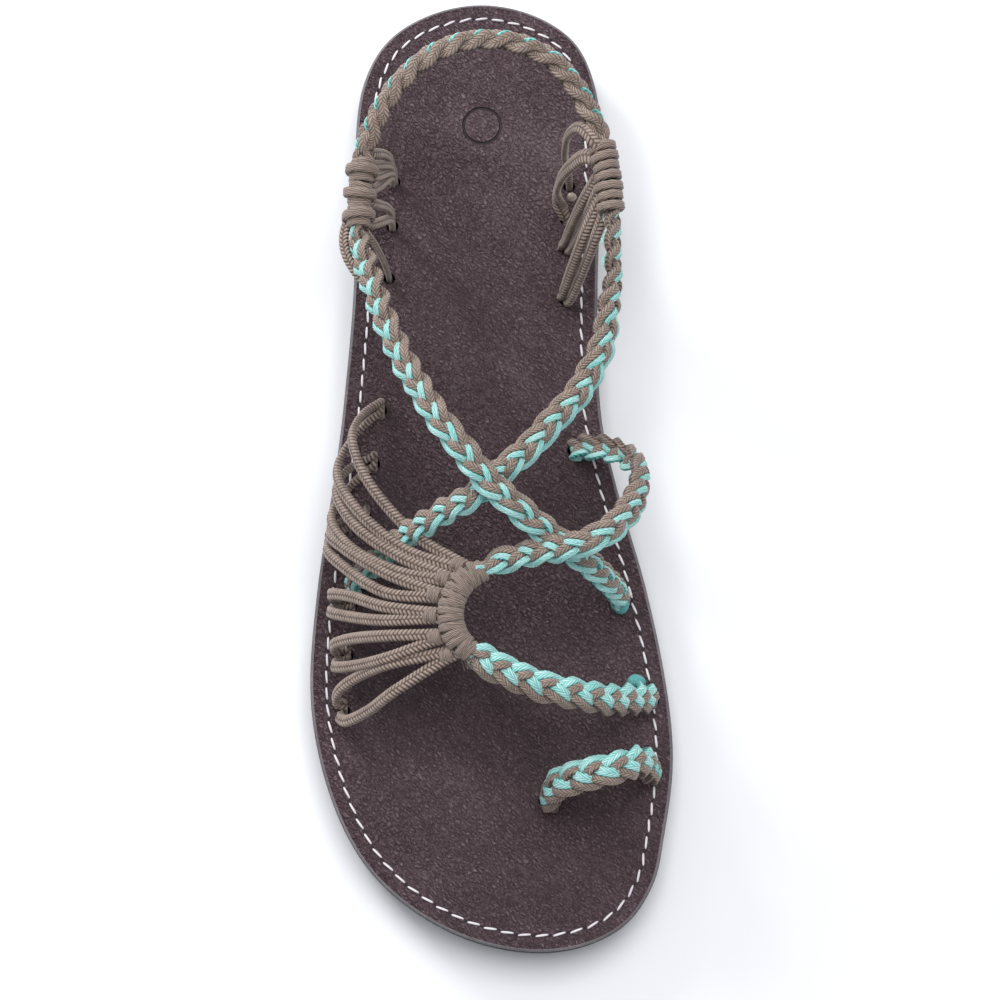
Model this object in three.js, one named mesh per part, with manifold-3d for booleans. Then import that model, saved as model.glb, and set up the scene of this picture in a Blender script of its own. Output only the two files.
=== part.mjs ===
// A flat strappy sandal for the right foot: a three-layer sole and an upper of plaited cord.
// Millimetres. +Y is the heel, -Y the toe, +X the big-toe side, +Z up, and the floor is Z = 0.
import * as THREE from 'three';
import { mergeVertices } from 'three/addons/utils/BufferGeometryUtils.js';
import Module from 'manifold-3d';

const wasm = await Module();
wasm.setup();

// Sole
const soleLength = 252;
const ballWidth = 91.7;
const outsoleThickness = 3.2;
const treadDepth = 1.3;
const grooveWidth = 2.2;
const grooveGap = 11.5;
const midsoleThickness = 6.4;
const footbedThickness = 2;
const toeSpring = 4;
const archLift = 1.1;
const archSupport = 2;
const heelDish = 0.8;
const rimOverhang = 0.9;
const outsoleLip = 0.55;
const outsoleChamfer = 0.9;
const footbedUndercut = 0.15;
const sideRibDepth = 0.45;
const rimRound = 0.5;

// Cords and plaits
const braidWidth = 7.6;
const forefootBraidWidth = 9;
const braidThickness = 4.2;
const braidPitch = 19;
const cordWidth = 2.9;
const neckWidth = 5.8;
const knotNeckWidth = 4;
const neckRun = 3.5;
const plugDepth = 5;
const socketDepth = 3;
const straightRun = 2.5;

// How high the straps stand over the footbed
const toeLoopRise = 21;
const instepRise = 48;
const ankleRise = 44;

// Wrapped and knotted pieces
const wrapWidth = 7.4;
const wrapThickness = 5.8;
const lateralKnotWidth = 8.2;
const medialKnotWidth = 7.6;

// The gap that touching pieces keep
const clearance = 0.3;

// The edge of the sole from heel to toe: how far along the length a place lies, and how far
// each edge stands from the centre line, both as shares of length and ball width.
const outline = [
  { along: 0, lateral: -0.029, medial: -0.029 },
  { along: 0.034, lateral: -0.282, medial: 0.221 },
  { along: 0.09, lateral: -0.37, medial: 0.298 },
  { along: 0.173, lateral: -0.392, medial: 0.317 },
  { along: 0.311, lateral: -0.391, medial: 0.302 },
  { along: 0.445, lateral: -0.417, medial: 0.307 },
  { along: 0.524, lateral: -0.443, medial: 0.349 },
  { along: 0.629, lateral: -0.483, medial: 0.43 },
  { along: 0.732, lateral: -0.5, medial: 0.485 },
  { along: 0.808, lateral: -0.47, medial: 0.5 },
  { along: 0.883, lateral: -0.394, medial: 0.473 },
  { along: 0.933, lateral: -0.295, medial: 0.44 },
  { along: 0.978, lateral: -0.12, medial: 0.344 },
  { along: 1, lateral: 0.131, medial: 0.131 },
];

// The side view: spring and arch lift the underside, core is the midsole's share of its
// thickness, dish sinks the middle of the footbed and support raises its arch side.
const profile = [
  { along: 0, spring: 0.12, arch: 0, core: 1, dish: 0.2, support: 0 },
  { along: 0.05, spring: 0, arch: 0, core: 1, dish: 0.8, support: 0 },
  { along: 0.15, spring: 0, arch: 0, core: 1, dish: 1, support: 0 },
  { along: 0.3, spring: 0, arch: 0.1, core: 0.98, dish: 0.6, support: 0.5 },
  { along: 0.42, spring: 0, arch: 1, core: 0.86, dish: 0.2, support: 1 },
  { along: 0.52, spring: 0, arch: 0.7, core: 0.8, dish: 0.2, support: 0.7 },
  { along: 0.62, spring: 0, arch: 0, core: 0.72, dish: 0.5, support: 0.1 },
  { along: 0.74, spring: 0, arch: 0, core: 0.66, dish: 0.6, support: 0 },
  { along: 0.86, spring: 0.28, arch: 0, core: 0.58, dish: 0.4, support: 0 },
  { along: 1, spring: 1, arch: 0, core: 0.44, dish: 0, support: 0 },
];

// A smooth value between the rows of a table, from one of its columns.
function column(table, name, along) {
  let row = 0;
  while (row < table.length - 2 && along > table[row + 1].along) row += 1;
  const before = table[Math.max(row - 1, 0)];
  const low = table[row];
  const high = table[row + 1];
  const after = table[Math.min(row + 2, table.length - 1)];
  const span = high.along - low.along;
  const share = Math.min(Math.max((along - low.along) / span, 0), 1);
  const slopeLow = (span * (high[name] - before[name])) / (high.along - before.along);
  const slopeHigh = (span * (after[name] - low[name])) / (after.along - low.along);
  const square = share * share;
  const cube = square * share;
  return (2 * cube - 3 * square + 1) * low[name] + (cube - 2 * square + share) * slopeLow
    + (3 * square - 2 * cube) * high[name] + (cube - square) * slopeHigh;
}

// The outline is read by the angle of a turn round the sole, which keeps both tips round:
// angle 0 is the heel, pi the toe, and the way back runs along the big-toe side.
const turn = 2 * Math.PI;
const alongToAngle = (along) => Math.acos(1 - 2 * along);
const angleToAlong = (angle) => (1 - Math.cos(angle)) / 2;
const rim = [
  ...outline.map((row) => ({ along: alongToAngle(row.along), across: row.lateral })),
  ...outline.slice(1, -1).reverse()
    .map((row) => ({ along: turn - alongToAngle(row.along), across: row.medial })),
];
const rimTable = [
  { along: rim.at(-1).along - turn, across: rim.at(-1).across },
  ...rim,
  { along: turn, across: rim[0].across },
  { along: turn + rim[1].along, across: rim[1].across },
];

// The widest places of the rim lie half a ball width from the centre line on both sides.
const stations = 24;
const rimAcross = Array.from({ length: 2 * stations }, (_, i) => (
  column(rimTable, 'across', (Math.PI * i) / stations)));
const rimMiddle = (Math.max(...rimAcross) + Math.min(...rimAcross)) / 2;
const rimSpan = Math.max(...rimAcross) - Math.min(...rimAcross);

function rimPoint(angle, inset) {
  const at = (value) => new THREE.Vector2(
    ((column(rimTable, 'across', value) - rimMiddle) / rimSpan) * ballWidth,
    (0.5 - angleToAlong(value)) * soleLength,
  );
  const step = 0.02;
  const point = at(angle);
  const tangent = at(angle + step).sub(at(angle - step)).normalize();
  return point.add(new THREE.Vector2(-tangent.y, tangent.x).multiplyScalar(inset));
}

const alongOf = (y) => Math.min(Math.max(0.5 - y / soleLength, 0), 1);

// Heights of the sole's layers at a place.
function underside(y) {
  const along = alongOf(y);
  const spring = Math.max(column(profile, 'spring', along), 0) * toeSpring;
  return spring + Math.max(column(profile, 'arch', along), 0) * archLift;
}
const outsoleTop = (y) => underside(y) + outsoleThickness;
const midsoleBase = (y) => outsoleTop(y) + clearance;
function midsoleTop(x, y) {
  const along = alongOf(y);
  const side = (2 * x) / ballWidth;
  const dish = column(profile, 'dish', along) * heelDish * (side * side * 4 - 1);
  const support = column(profile, 'support', along) * archSupport * Math.max(side, 0) ** 2 * 2;
  return midsoleBase(y) + column(profile, 'core', along) * midsoleThickness
    + Math.min(dish, 0) + support;
}
const footbedBase = (x, y) => midsoleTop(x, y) + clearance;
const footbedTop = (x, y) => footbedBase(x, y) + footbedThickness;

// A closed mesh from corners and triangles, turned so that its faces point out.
function closedMesh(corners, triangles) {
  let volume = 0;
  for (const [a, b, c] of triangles) {
    volume += corners[a].dot(corners[b].clone().cross(corners[c]));
  }
  const index = volume > 0 ? triangles.flat() : triangles.flatMap(([a, b, c]) => [a, c, b]);
  const geometry = new THREE.BufferGeometry();
  const position = corners.flatMap((corner) => corner.toArray());
  geometry.setAttribute('position', new THREE.Float32BufferAttribute(position, 3));
  geometry.setIndex(index);
  return geometry;
}

// A layer of the sole. Its wall climbs through levels, each with an inset from the rim and a
// share of the height; its faces are strips across the foot, closed by a fan at each tip.
function soleLayer({ levels, base, top, strips }) {
  const corners = [];
  const triangles = [];
  const add = (x, y, z) => corners.push(new THREE.Vector3(x, y, z)) - 1;
  const columns = strips + 1;
  const height = (x, y, share) => THREE.MathUtils.lerp(base(x, y), top(x, y), share);
  const edge = (station, side, level) => {
    const angle = (Math.PI * station) / stations;
    return rimPoint(side > 0 ? turn - angle : angle, level.inset);
  };
  const tips = levels.map((level) => [0, stations].map((station) => {
    const point = edge(station, -1, level);
    return add(point.x, point.y, height(point.x, point.y, level.share));
  }));
  const rows = levels.map((level, order) => {
    const whole = order === 0 || order === levels.length - 1;
    return Array.from({ length: stations - 1 }, (_, index) => {
      const lateral = edge(index + 1, -1, level);
      const medial = edge(index + 1, 1, level);
      const shares = whole ? Array.from({ length: columns }, (_unused, i) => i / strips) : [0, 1];
      return shares.map((share) => {
        const point = lateral.clone().lerp(medial, share);
        return add(point.x, point.y, height(point.x, point.y, level.share));
      });
    });
  });
  const quad = (a, b, c, d) => triangles.push([a, b, c], [a, c, d]);
  const face = (row, tip, up) => {
    const strip = (a, b, c, d) => (up ? quad(a, b, c, d) : quad(d, c, b, a));
    const corner = (a, b, c) => triangles.push(up ? [a, b, c] : [c, b, a]);
    for (let i = 0; i < strips; i += 1) {
      corner(tip[0], row[0][i], row[0][i + 1]);
      corner(tip[1], row.at(-1)[i + 1], row.at(-1)[i]);
      for (let s = 0; s < row.length - 1; s += 1) {
        strip(row[s][i], row[s + 1][i], row[s + 1][i + 1], row[s][i + 1]);
      }
    }
  };
  face(rows[0], tips[0], false);
  face(rows.at(-1), tips.at(-1), true);
  for (let level = 0; level < levels.length - 1; level += 1) {
    const ring = (order) => [
      tips[order][0], ...rows[order].map((row) => row[0]),
      tips[order][1], ...rows[order].map((row) => row.at(-1)).reverse(),
    ];
    const low = ring(level);
    const high = ring(level + 1);
    low.forEach((_, i) => {
      const next = (i + 1) % low.length;
      quad(low[i], low[next], high[next], high[i]);
    });
  }
  return closedMesh(corners, triangles);
}

// Booleans: a geometry becomes a solid once its shared corners are merged.
function solid(geometry) {
  const bare = geometry.clone();
  bare.deleteAttribute('normal');
  bare.deleteAttribute('uv');
  const merged = mergeVertices(bare, 1e-4);
  return new wasm.Manifold(new wasm.Mesh({
    numProp: 3,
    vertProperties: merged.attributes.position.array,
    triVerts: merged.index.array,
  }));
}

function toGeometry(body) {
  const mesh = body.getMesh();
  const geometry = new THREE.BufferGeometry();
  geometry.setAttribute('position', new THREE.BufferAttribute(mesh.vertProperties, 3));
  geometry.setIndex(new THREE.BufferAttribute(mesh.triVerts, 1));
  return geometry;
}

const join = (geometries) => geometries.map(solid).reduce((whole, piece) => whole.add(piece));
const cut = (body, tools) => tools.map(solid).reduce((rest, tool) => rest.subtract(tool), body);

// A place over the footbed, from shares of length, ball width and a rise.
function place({ along, across, up = 0, ply = 0 }, rise = 0) {
  const x = across * ballWidth;
  const y = (0.5 - along) * soleLength;
  return new THREE.Vector3(x, y, footbedTop(x, y) + up * rise + ply * braidThickness);
}

// How far a cutting tool stands clear of the face that it cuts
const overshoot = 2;

// A straight round hole, from a point along a direction. Its flats keep the stated radius.
function bore(point, direction, radius, depth) {
  const sides = 8;
  const corner = radius / Math.cos(Math.PI / sides);
  const geometry = new THREE.CylinderGeometry(corner, corner, depth, sides);
  const way = direction.clone().normalize();
  geometry.applyQuaternion(
    new THREE.Quaternion().setFromUnitVectors(new THREE.Vector3(0, 1, 0), way),
  );
  const middle = point.clone().addScaledVector(way, depth / 2);
  return geometry.translate(middle.x, middle.y, middle.z);
}

// A solid swept through rings of corners, closed at both ends.
function loft(rings) {
  const sides = rings[0].length;
  const corners = rings.flat();
  const triangles = [];
  for (let ring = 0; ring < rings.length - 1; ring += 1) {
    for (let i = 0; i < sides; i += 1) {
      const next = (i + 1) % sides;
      const low = ring * sides;
      const high = low + sides;
      triangles.push([low + i, low + next, high + next], [low + i, high + next, high + i]);
    }
  }
  [0, rings.length - 1].forEach((ring, end) => {
    const middle = rings[ring].reduce((sum, corner) => sum.add(corner), new THREE.Vector3())
      .divideScalar(sides);
    const centre = corners.push(middle) - 1;
    for (let i = 0; i < sides; i += 1) {
      const a = ring * sides + i;
      const b = ring * sides + ((i + 1) % sides);
      triangles.push(end === 0 ? [centre, b, a] : [centre, a, b]);
    }
  });
  return closedMesh(corners, triangles);
}

// Rings along a path. The face of a strap looks away from its hub, a place in the foot.
function sweep(points, steps, hub, section) {
  const path = new THREE.CatmullRomCurve3(points, false, 'centripetal');
  path.arcLengthDivisions = 400;
  const length = path.getLength();
  const rings = [];
  for (let step = 0; step <= steps; step += 1) {
    const share = step / steps;
    const point = path.getPointAt(share);
    const tangent = path.getTangentAt(share);
    const out = point.clone().sub(hub(point));
    out.addScaledVector(tangent, -out.dot(tangent)).normalize();
    const side = tangent.clone().cross(out);
    rings.push(section(share * length, length).map(([wide, deep]) => point.clone()
      .addScaledVector(side, wide).addScaledVector(out, deep)));
  }
  return loft(rings);
}

// The plait: three strands weave side to side once in each pitch and lie over each other
// twice as often. The wall between its faces follows the highest and lowest strand.
const columnsAcross = [-0.55, 0, 0.55];
function plaitSection(distance, width, thickness, pitch) {
  const strandReach = width * 0.27;
  const strandDepth = thickness * 0.33;
  const swing = width / 2 - strandReach;
  const weave = thickness / 2 - strandDepth;
  const strands = [0, 1, 2].map((order) => {
    const phase = turn * (distance / pitch + order / 3);
    return { side: swing * Math.sin(phase), lift: weave * Math.sin(2 * phase) };
  });
  const reach = (sign) => strands.reduce((far, strand) => (
    sign * strand.side > sign * far.side ? strand : far));
  const surface = (side, sign) => strands.reduce((far, strand) => {
    const off = Math.abs(side - strand.side) / strandReach;
    if (off >= 1) return far;
    return Math.max(far, sign * strand.lift + strandDepth * Math.sqrt(1 - off * off));
  }, thickness * 0.2);
  const left = reach(-1);
  const right = reach(1);
  const row = (sign) => columnsAcross.map((share) => {
    const side = share > 0 ? share * (right.side + strandReach) : -share * (left.side - strandReach);
    return [side, sign * surface(side, sign)];
  });
  return [
    [left.side - strandReach, left.lift * 0.5], ...row(1),
    [right.side + strandReach, right.lift * 0.5], ...row(-1).reverse(),
  ];
}

const roundSection = (sides, wide, deep) => Array.from({ length: sides }, (_, i) => {
  const angle = Math.PI - (turn * i) / sides;
  return [wide * Math.cos(angle), deep * Math.sin(angle)];
});

// A plaited strap, drawn in to a round neck where an end goes into a hole.
const stepsPerPitch = 6;
function plaitedStrap(points, hub, { width = braidWidth, necks = [neckWidth, neckWidth] } = {}) {
  const sides = 2 + 2 * columnsAcross.length;
  const length = new THREE.CatmullRomCurve3(points, false, 'centripetal').getLength();
  const steps = Math.round((length / braidPitch) * stepsPerPitch);
  return sweep(points, steps, hub, (distance, whole) => {
    const end = distance < whole / 2 ? 0 : 1;
    const fromEnd = necks[end] ? Math.min(distance, whole - distance) : Infinity;
    const body = THREE.MathUtils.smoothstep(fromEnd, plugDepth, plugDepth + neckRun);
    const neck = roundSection(sides, necks[end] / 2, necks[end] / 2);
    return plaitSection(distance, width, braidThickness, braidPitch)
      .map(([wide, deep], i) => [
        THREE.MathUtils.lerp(neck[i][0], wide, body),
        THREE.MathUtils.lerp(neck[i][1], deep, body),
      ]);
  });
}

// A body of wound cord: a round bar with one ridge for each turn.
function woundBar(points, hub, { turns, wide, deep, relief, stepsPerTurn, taper }) {
  const sides = 8;
  return sweep(points, turns * stepsPerTurn, hub, (distance, whole) => {
    const share = distance / whole;
    const ridge = 1 - relief * (1 - Math.abs(Math.sin(Math.PI * turns * share)));
    const end = 1 - taper * (2 * share - 1) ** 4;
    return roundSection(sides, (wide / 2) * ridge * end, (deep / 2) * ridge * end);
  });
}

// A cord along a route, as an extruded round section.
function cord(points, steps, width = cordWidth) {
  const sides = 6;
  const section = new THREE.Shape(Array.from({ length: sides }, (_, i) => new THREE.Vector2(
    (width / 2) * Math.cos((turn * i) / sides),
    (width / 2) * Math.sin((turn * i) / sides),
  )));
  const extrudePath = new THREE.CatmullRomCurve3(points, false, 'centripetal');
  return new THREE.ExtrudeGeometry(section, { steps, extrudePath, bevelEnabled: false });
}

// A hole in the footbed for a strap's neck or for cords, and the way down into it.
const down = new THREE.Vector3(0, 0, -1);
const holes = [];
function anchor(spot, width) {
  const mouth = place(spot);
  const radius = width / 2 + clearance;
  holes.push({ mouth, radius });
  return [
    mouth.clone().setZ(mouth.z + straightRun),
    mouth,
    mouth.clone().addScaledVector(down, plugDepth),
  ];
}
const hubAt = (across, up, rise) => (point) => (
  new THREE.Vector3(across * ballWidth, point.y, footbedTop(point.x, point.y) + up * rise));

// Toe loop, over the big toe from hole to hole
const toeLoopRoute = [
  { along: 0.84, across: 0.175, up: 0.66 },
  { along: 0.836, across: 0.225, up: 0.9 },
  { along: 0.832, across: 0.291, up: 1 },
  { along: 0.825, across: 0.359, up: 0.93 },
  { along: 0.817, across: 0.41, up: 0.68 },
];
const toeLoopGeometry = plaitedStrap([
  ...anchor({ along: 0.847, across: 0.157 }, neckWidth).reverse(),
  ...toeLoopRoute.map((row) => place(row, toeLoopRise)),
  ...anchor({ along: 0.819, across: 0.441 }, neckWidth),
], hubAt(0.3, 0.3, toeLoopRise), { width: forefootBraidWidth });

// The wound crescent at the middle of the foot, which gathers the fan of side cords
const wrapRoute = [
  { along: 0.643, across: -0.02, up: 0.735 },
  { along: 0.652, across: -0.066, up: 0.735 },
  { along: 0.67, across: -0.1, up: 0.725 },
  { along: 0.69, across: -0.108, up: 0.715 },
  { along: 0.709, across: -0.092, up: 0.705 },
  { along: 0.724, across: -0.05, up: 0.69 },
].map((row) => place(row, instepRise));
const wrapTurns = 12;
const wrapGeometry = woundBar(wrapRoute, hubAt(0, 0, instepRise), {
  turns: wrapTurns, wide: wrapWidth, deep: wrapThickness, relief: 0.12, stepsPerTurn: 2, taper: 0.18,
});

// Front strap, from the crescent's toe end down to the big-toe side
const frontRoute = [
  { along: 0.731, across: -0.016, up: 0.685 },
  { along: 0.742, across: 0.05, up: 0.66 },
  { along: 0.753, across: 0.144, up: 0.6 },
  { along: 0.758, across: 0.238, up: 0.52 },
  { along: 0.758, across: 0.33, up: 0.38 },
  { along: 0.752, across: 0.4, up: 0.2 },
];
const frontGeometry = plaitedStrap([
  wrapRoute.at(-2),
  ...frontRoute.map((row) => place(row, instepRise)),
  ...anchor({ along: 0.745, across: 0.436 }, neckWidth),
], hubAt(0.05, 0.08, instepRise), { width: forefootBraidWidth, necks: [0, neckWidth] });

// The knots at the ankle, each a wound bar between two straps
const lateralKnotRoute = [
  { along: 0.221, across: -0.354, up: 0.75 },
  { along: 0.25, across: -0.362, up: 0.72 },
  { along: 0.291, across: -0.367, up: 0.705 },
].map((row) => place(row, ankleRise));
const medialKnotRoute = [
  { along: 0.208, across: 0.303, up: 0.805 },
  { along: 0.24, across: 0.318, up: 0.805 },
  { along: 0.281, across: 0.328, up: 0.805 },
].map((row) => place(row, ankleRise));

// A strap's end in a knot: in from the knot's face, straight along its axis.
const sockets = { lateral: [], medial: [] };
function socket(name, route, end) {
  const face = end === 0 ? route[0] : route.at(-1);
  const inner = end === 0 ? route[1] : route.at(-2);
  const way = inner.clone().sub(face).normalize();
  sockets[name].push(bore(
    face.clone().addScaledVector(way, -overshoot), way,
    knotNeckWidth / 2 + clearance, socketDepth + clearance + overshoot,
  ));
  return [face.clone().addScaledVector(way, socketDepth), face.clone().addScaledVector(way, -straightRun)];
}

// Long instep strap, from the outer knot over the foot to the big-toe side
const crossingRoute = [
  { along: 0.363, across: -0.322, up: 0.77 },
  { along: 0.408, across: -0.279, up: 0.83 },
  { along: 0.454, across: -0.221, up: 0.9 },
  { along: 0.498, across: -0.152, up: 0.95, ply: 0.2 },
  { along: 0.537, across: -0.075, up: 0.97, ply: 0.4 },
  { along: 0.571, across: 0.002, up: 0.965, ply: 0.42 },
  { along: 0.594, across: 0.079, up: 0.945, ply: 0.1 },
  { along: 0.613, across: 0.159, up: 0.88, ply: -0.42 },
  { along: 0.628, across: 0.237, up: 0.75, ply: -0.45 },
  { along: 0.638, across: 0.305, up: 0.49 },
  { along: 0.642, across: 0.348, up: 0.21 },
];
const crossingGeometry = plaitedStrap([
  ...socket('lateral', lateralKnotRoute, 1),
  ...crossingRoute.map((row) => place(row, instepRise)),
  ...anchor({ along: 0.643, across: 0.362 }, neckWidth),
], hubAt(0, 0.12, instepRise), { necks: [knotNeckWidth, neckWidth] });

// Its partner, from the inner knot under the first strap and the fan to the outer side
const underRoute = [
  { along: 0.323, across: 0.328, up: 0.79 },
  { along: 0.364, across: 0.329, up: 0.83 },
  { along: 0.405, across: 0.314, up: 0.87 },
  { along: 0.442, across: 0.288, up: 0.9 },
  { along: 0.477, across: 0.234, up: 0.925 },
  { along: 0.508, across: 0.162, up: 0.94 },
  { along: 0.536, across: 0.088, up: 0.955, ply: -0.2 },
  { along: 0.56, across: 0.01, up: 0.965, ply: -0.42 },
  { along: 0.577, across: -0.056, up: 0.9, ply: -0.3 },
  { along: 0.588, across: -0.137, up: 0.76 },
  { along: 0.6, across: -0.222, up: 0.6 },
  { along: 0.613, across: -0.3, up: 0.38 },
  { along: 0.624, across: -0.36, up: 0.17 },
];
const underGeometry = plaitedStrap([
  ...socket('medial', medialKnotRoute, 1),
  ...underRoute.map((row) => place(row, instepRise)),
  ...anchor({ along: 0.628, across: -0.385 }, neckWidth),
], hubAt(0, 0.12, instepRise), { necks: [knotNeckWidth, neckWidth] });

// The side loop, from the crescent over the long strap, out past the sole and back in under
const sideLoopRoute = [
  { along: 0.636, across: 0.021, up: 0.765 },
  { along: 0.631, across: 0.13, up: 0.86, ply: 0.2 },
  { along: 0.629, across: 0.22, up: 0.92, ply: 0.5 },
  { along: 0.619, across: 0.298, up: 0.95, ply: 0.3 },
  { along: 0.6, across: 0.35, up: 0.9 },
  { along: 0.582, across: 0.381, up: 0.8 },
  { along: 0.556, across: 0.402, up: 0.64 },
  { along: 0.532, across: 0.402, up: 0.48 },
  { along: 0.511, across: 0.372, up: 0.33 },
  { along: 0.497, across: 0.313, up: 0.2 },
];
const sideLoopGeometry = plaitedStrap([
  wrapRoute[1],
  ...sideLoopRoute.map((row) => place(row, instepRise)),
  ...anchor({ along: 0.489, across: 0.24 }, neckWidth),
], hubAt(0.08, 0.46, instepRise), { necks: [0, neckWidth] });

// The fan: each cord leaves the crescent, bends over the outer side and goes down a hole that
// it shares with its neighbour. crest and knee are the two places it bends over.
const fanHoles = [
  { along: 0.446, across: -0.312 },
  { along: 0.502, across: -0.331 },
  { along: 0.558, across: -0.352 },
  { along: 0.647, across: -0.39 },
  { along: 0.701, across: -0.4 },
  { along: 0.757, across: -0.408 },
];
const fanCords = [
  {
    hole: 0, crest: [0.603, -0.208, 0.62], calf: [0.539, -0.343, 0.46],
    knee: [0.49, -0.385, 0.33], turnIn: [0.458, -0.356, 0.17],
  },
  {
    hole: 0, crest: [0.618, -0.233, 0.61], calf: [0.567, -0.375, 0.44],
    knee: [0.524, -0.427, 0.28], turnIn: [0.481, -0.384, 0.15],
  },
  {
    hole: 1, crest: [0.625, -0.246, 0.6], calf: [0.583, -0.378, 0.42],
    knee: [0.542, -0.429, 0.27], turnIn: [0.513, -0.394, 0.13],
  },
  {
    hole: 1, crest: [0.639, -0.257, 0.6], calf: [0.607, -0.386, 0.42],
    knee: [0.57, -0.443, 0.25], turnIn: [0.535, -0.402, 0.12],
  },
  {
    hole: 2, crest: [0.643, -0.273, 0.59], calf: [0.609, -0.397, 0.4],
    knee: [0.584, -0.449, 0.23], turnIn: [0.565, -0.405, 0.1],
  },
  {
    hole: 2, crest: [0.661, -0.278, 0.59], calf: [0.627, -0.399, 0.39],
    knee: [0.599, -0.454, 0.23], turnIn: [0.576, -0.414, 0.1],
  },
  {
    hole: 3, crest: [0.674, -0.286, 0.58], calf: [0.655, -0.385, 0.38],
    knee: [0.646, -0.442, 0.21], turnIn: [0.645, -0.424, 0.09],
  },
  {
    hole: 3, crest: [0.687, -0.286, 0.57], calf: [0.675, -0.385, 0.36],
    knee: [0.663, -0.444, 0.19], turnIn: [0.655, -0.425, 0.08],
  },
  {
    hole: 4, crest: [0.702, -0.285, 0.56], calf: [0.697, -0.384, 0.35],
    knee: [0.697, -0.434, 0.19], turnIn: [0.699, -0.425, 0.08],
  },
  {
    hole: 4, crest: [0.723, -0.277, 0.55], calf: [0.723, -0.371, 0.33],
    knee: [0.718, -0.43, 0.17], turnIn: [0.709, -0.424, 0.08],
  },
  {
    hole: 5, crest: [0.729, -0.272, 0.54], calf: [0.734, -0.362, 0.33],
    knee: [0.744, -0.42, 0.18], turnIn: [0.752, -0.426, 0.08],
  },
  {
    hole: 5, crest: [0.755, -0.258, 0.52], calf: [0.768, -0.337, 0.3],
    knee: [0.772, -0.4, 0.14], turnIn: [0.765, -0.418, 0.07],
  },
];
const wrapPath = new THREE.CatmullRomCurve3(wrapRoute, false, 'centripetal');
const fanAnchors = fanHoles.map((spot) => anchor(spot, cordWidth * 2));
const fanGeometries = fanCords.map((row, order) => {
  const start = wrapPath.getPointAt((order + 0.5) / fanCords.length);
  const bend = ([along, across, up]) => place({ along, across, up }, instepRise);
  const aside = new THREE.Vector3(0, (order % 2 === 0 ? 0.45 : -0.45) * cordWidth, 0);
  const end = fanAnchors[row.hole].map((point) => point.clone().add(aside));
  return cord([start, bend(row.crest), bend(row.calf), bend(row.knee), bend(row.turnIn), ...end], 9);
});

// Heel strap, a sling round the back of the heel from knot to knot
const heelRoute = [
  { along: 0.191, across: -0.329, up: 0.8 },
  { along: 0.16, across: -0.279, up: 0.87 },
  { along: 0.132, across: -0.202, up: 0.94 },
  { along: 0.114, across: -0.108, up: 0.985 },
  { along: 0.109, across: -0.009, up: 1 },
  { along: 0.115, across: 0.095, up: 0.985 },
  { along: 0.133, across: 0.183, up: 0.94 },
  { along: 0.158, across: 0.24, up: 0.88 },
  { along: 0.185, across: 0.282, up: 0.83 },
];
const heelHub = (point) => new THREE.Vector3(
  -0.02 * ballWidth, 0.25 * soleLength, point.z - 0.07 * ankleRise,
);
const heelStrapGeometry = plaitedStrap([
  ...socket('lateral', lateralKnotRoute, 0),
  ...heelRoute.map((row) => place(row, ankleRise)),
  ...socket('medial', medialKnotRoute, 0).reverse(),
], heelHub, { necks: [knotNeckWidth, knotNeckWidth] });

// Cords that tie each knot down to the sole
const lateralStays = [
  { hole: 0, from: 0.08, belly: [0.219, -0.322, 0.56] },
  { hole: 0, from: 0.24, belly: [0.232, -0.316, 0.52] },
  { hole: 0, from: 0.38, belly: [0.243, -0.322, 0.48] },
  { hole: 1, from: 0.62, belly: [0.262, -0.318, 0.5] },
  { hole: 1, from: 0.82, belly: [0.275, -0.322, 0.46] },
  { hole: 2, from: 0.86, belly: [0.296, -0.308, 0.4] },
];
const lateralStayHoles = [
  { along: 0.198, across: -0.28 },
  { along: 0.247, across: -0.284 },
  { along: 0.304, across: -0.292 },
];
const medialStays = [
  { hole: 0, from: 0.2, belly: [0.192, 0.232, 0.6], low: [0.19, 0.208, 0.26] },
  { hole: 1, from: 0.3, belly: [0.216, 0.222, 0.6], low: [0.222, 0.186, 0.26] },
  { hole: 2, from: 0.55, belly: [0.254, 0.28, 0.56], low: [0.266, 0.232, 0.2] },
  { hole: 2, from: 0.68, belly: [0.262, 0.29, 0.54], low: [0.273, 0.246, 0.2] },
  { hole: 3, from: 0.8, belly: [0.281, 0.296, 0.52], low: [0.31, 0.238, 0.18] },
  { hole: 3, from: 0.92, belly: [0.291, 0.306, 0.5], low: [0.316, 0.252, 0.18] },
];
const medialStayHoles = [
  { along: 0.203, across: 0.222 },
  { along: 0.24, across: 0.212 },
  { along: 0.271, across: 0.208 },
  { along: 0.326, across: 0.204 },
];

function knot(route, name, bar, stays, spots) {
  const path = new THREE.CatmullRomCurve3(route, false, 'centripetal');
  const ways = spots.map((spot) => anchor(spot, cordWidth * 2));
  const seen = spots.map(() => 0);
  const cords = stays.map((row) => {
    seen[row.hole] += 1;
    const aside = new THREE.Vector3(0, (seen[row.hole] % 2 === 0 ? -0.45 : 0.45) * cordWidth, 0);
    const bends = [row.belly, row.low].filter(Boolean)
      .map(([along, across, up]) => place({ along, across, up }, ankleRise));
    const end = ways[row.hole].map((point) => point.clone().add(aside));
    return cord([path.getPointAt(row.from), ...bends, ...end], 6);
  });
  return cut(join([woundBar(route, hubAt(0, 0, ankleRise), bar), ...cords]), sockets[name]);
}

const lateralKnotBody = knot(lateralKnotRoute, 'lateral', {
  turns: 3, wide: lateralKnotWidth, deep: lateralKnotWidth, relief: 0.22, stepsPerTurn: 4, taper: 0.12,
}, lateralStays, lateralStayHoles);
const medialKnotBody = knot(medialKnotRoute, 'medial', {
  turns: 7, wide: medialKnotWidth, deep: medialKnotWidth, relief: 0.12, stepsPerTurn: 2, taper: 0.06,
}, medialStays, medialStayHoles);

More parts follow.
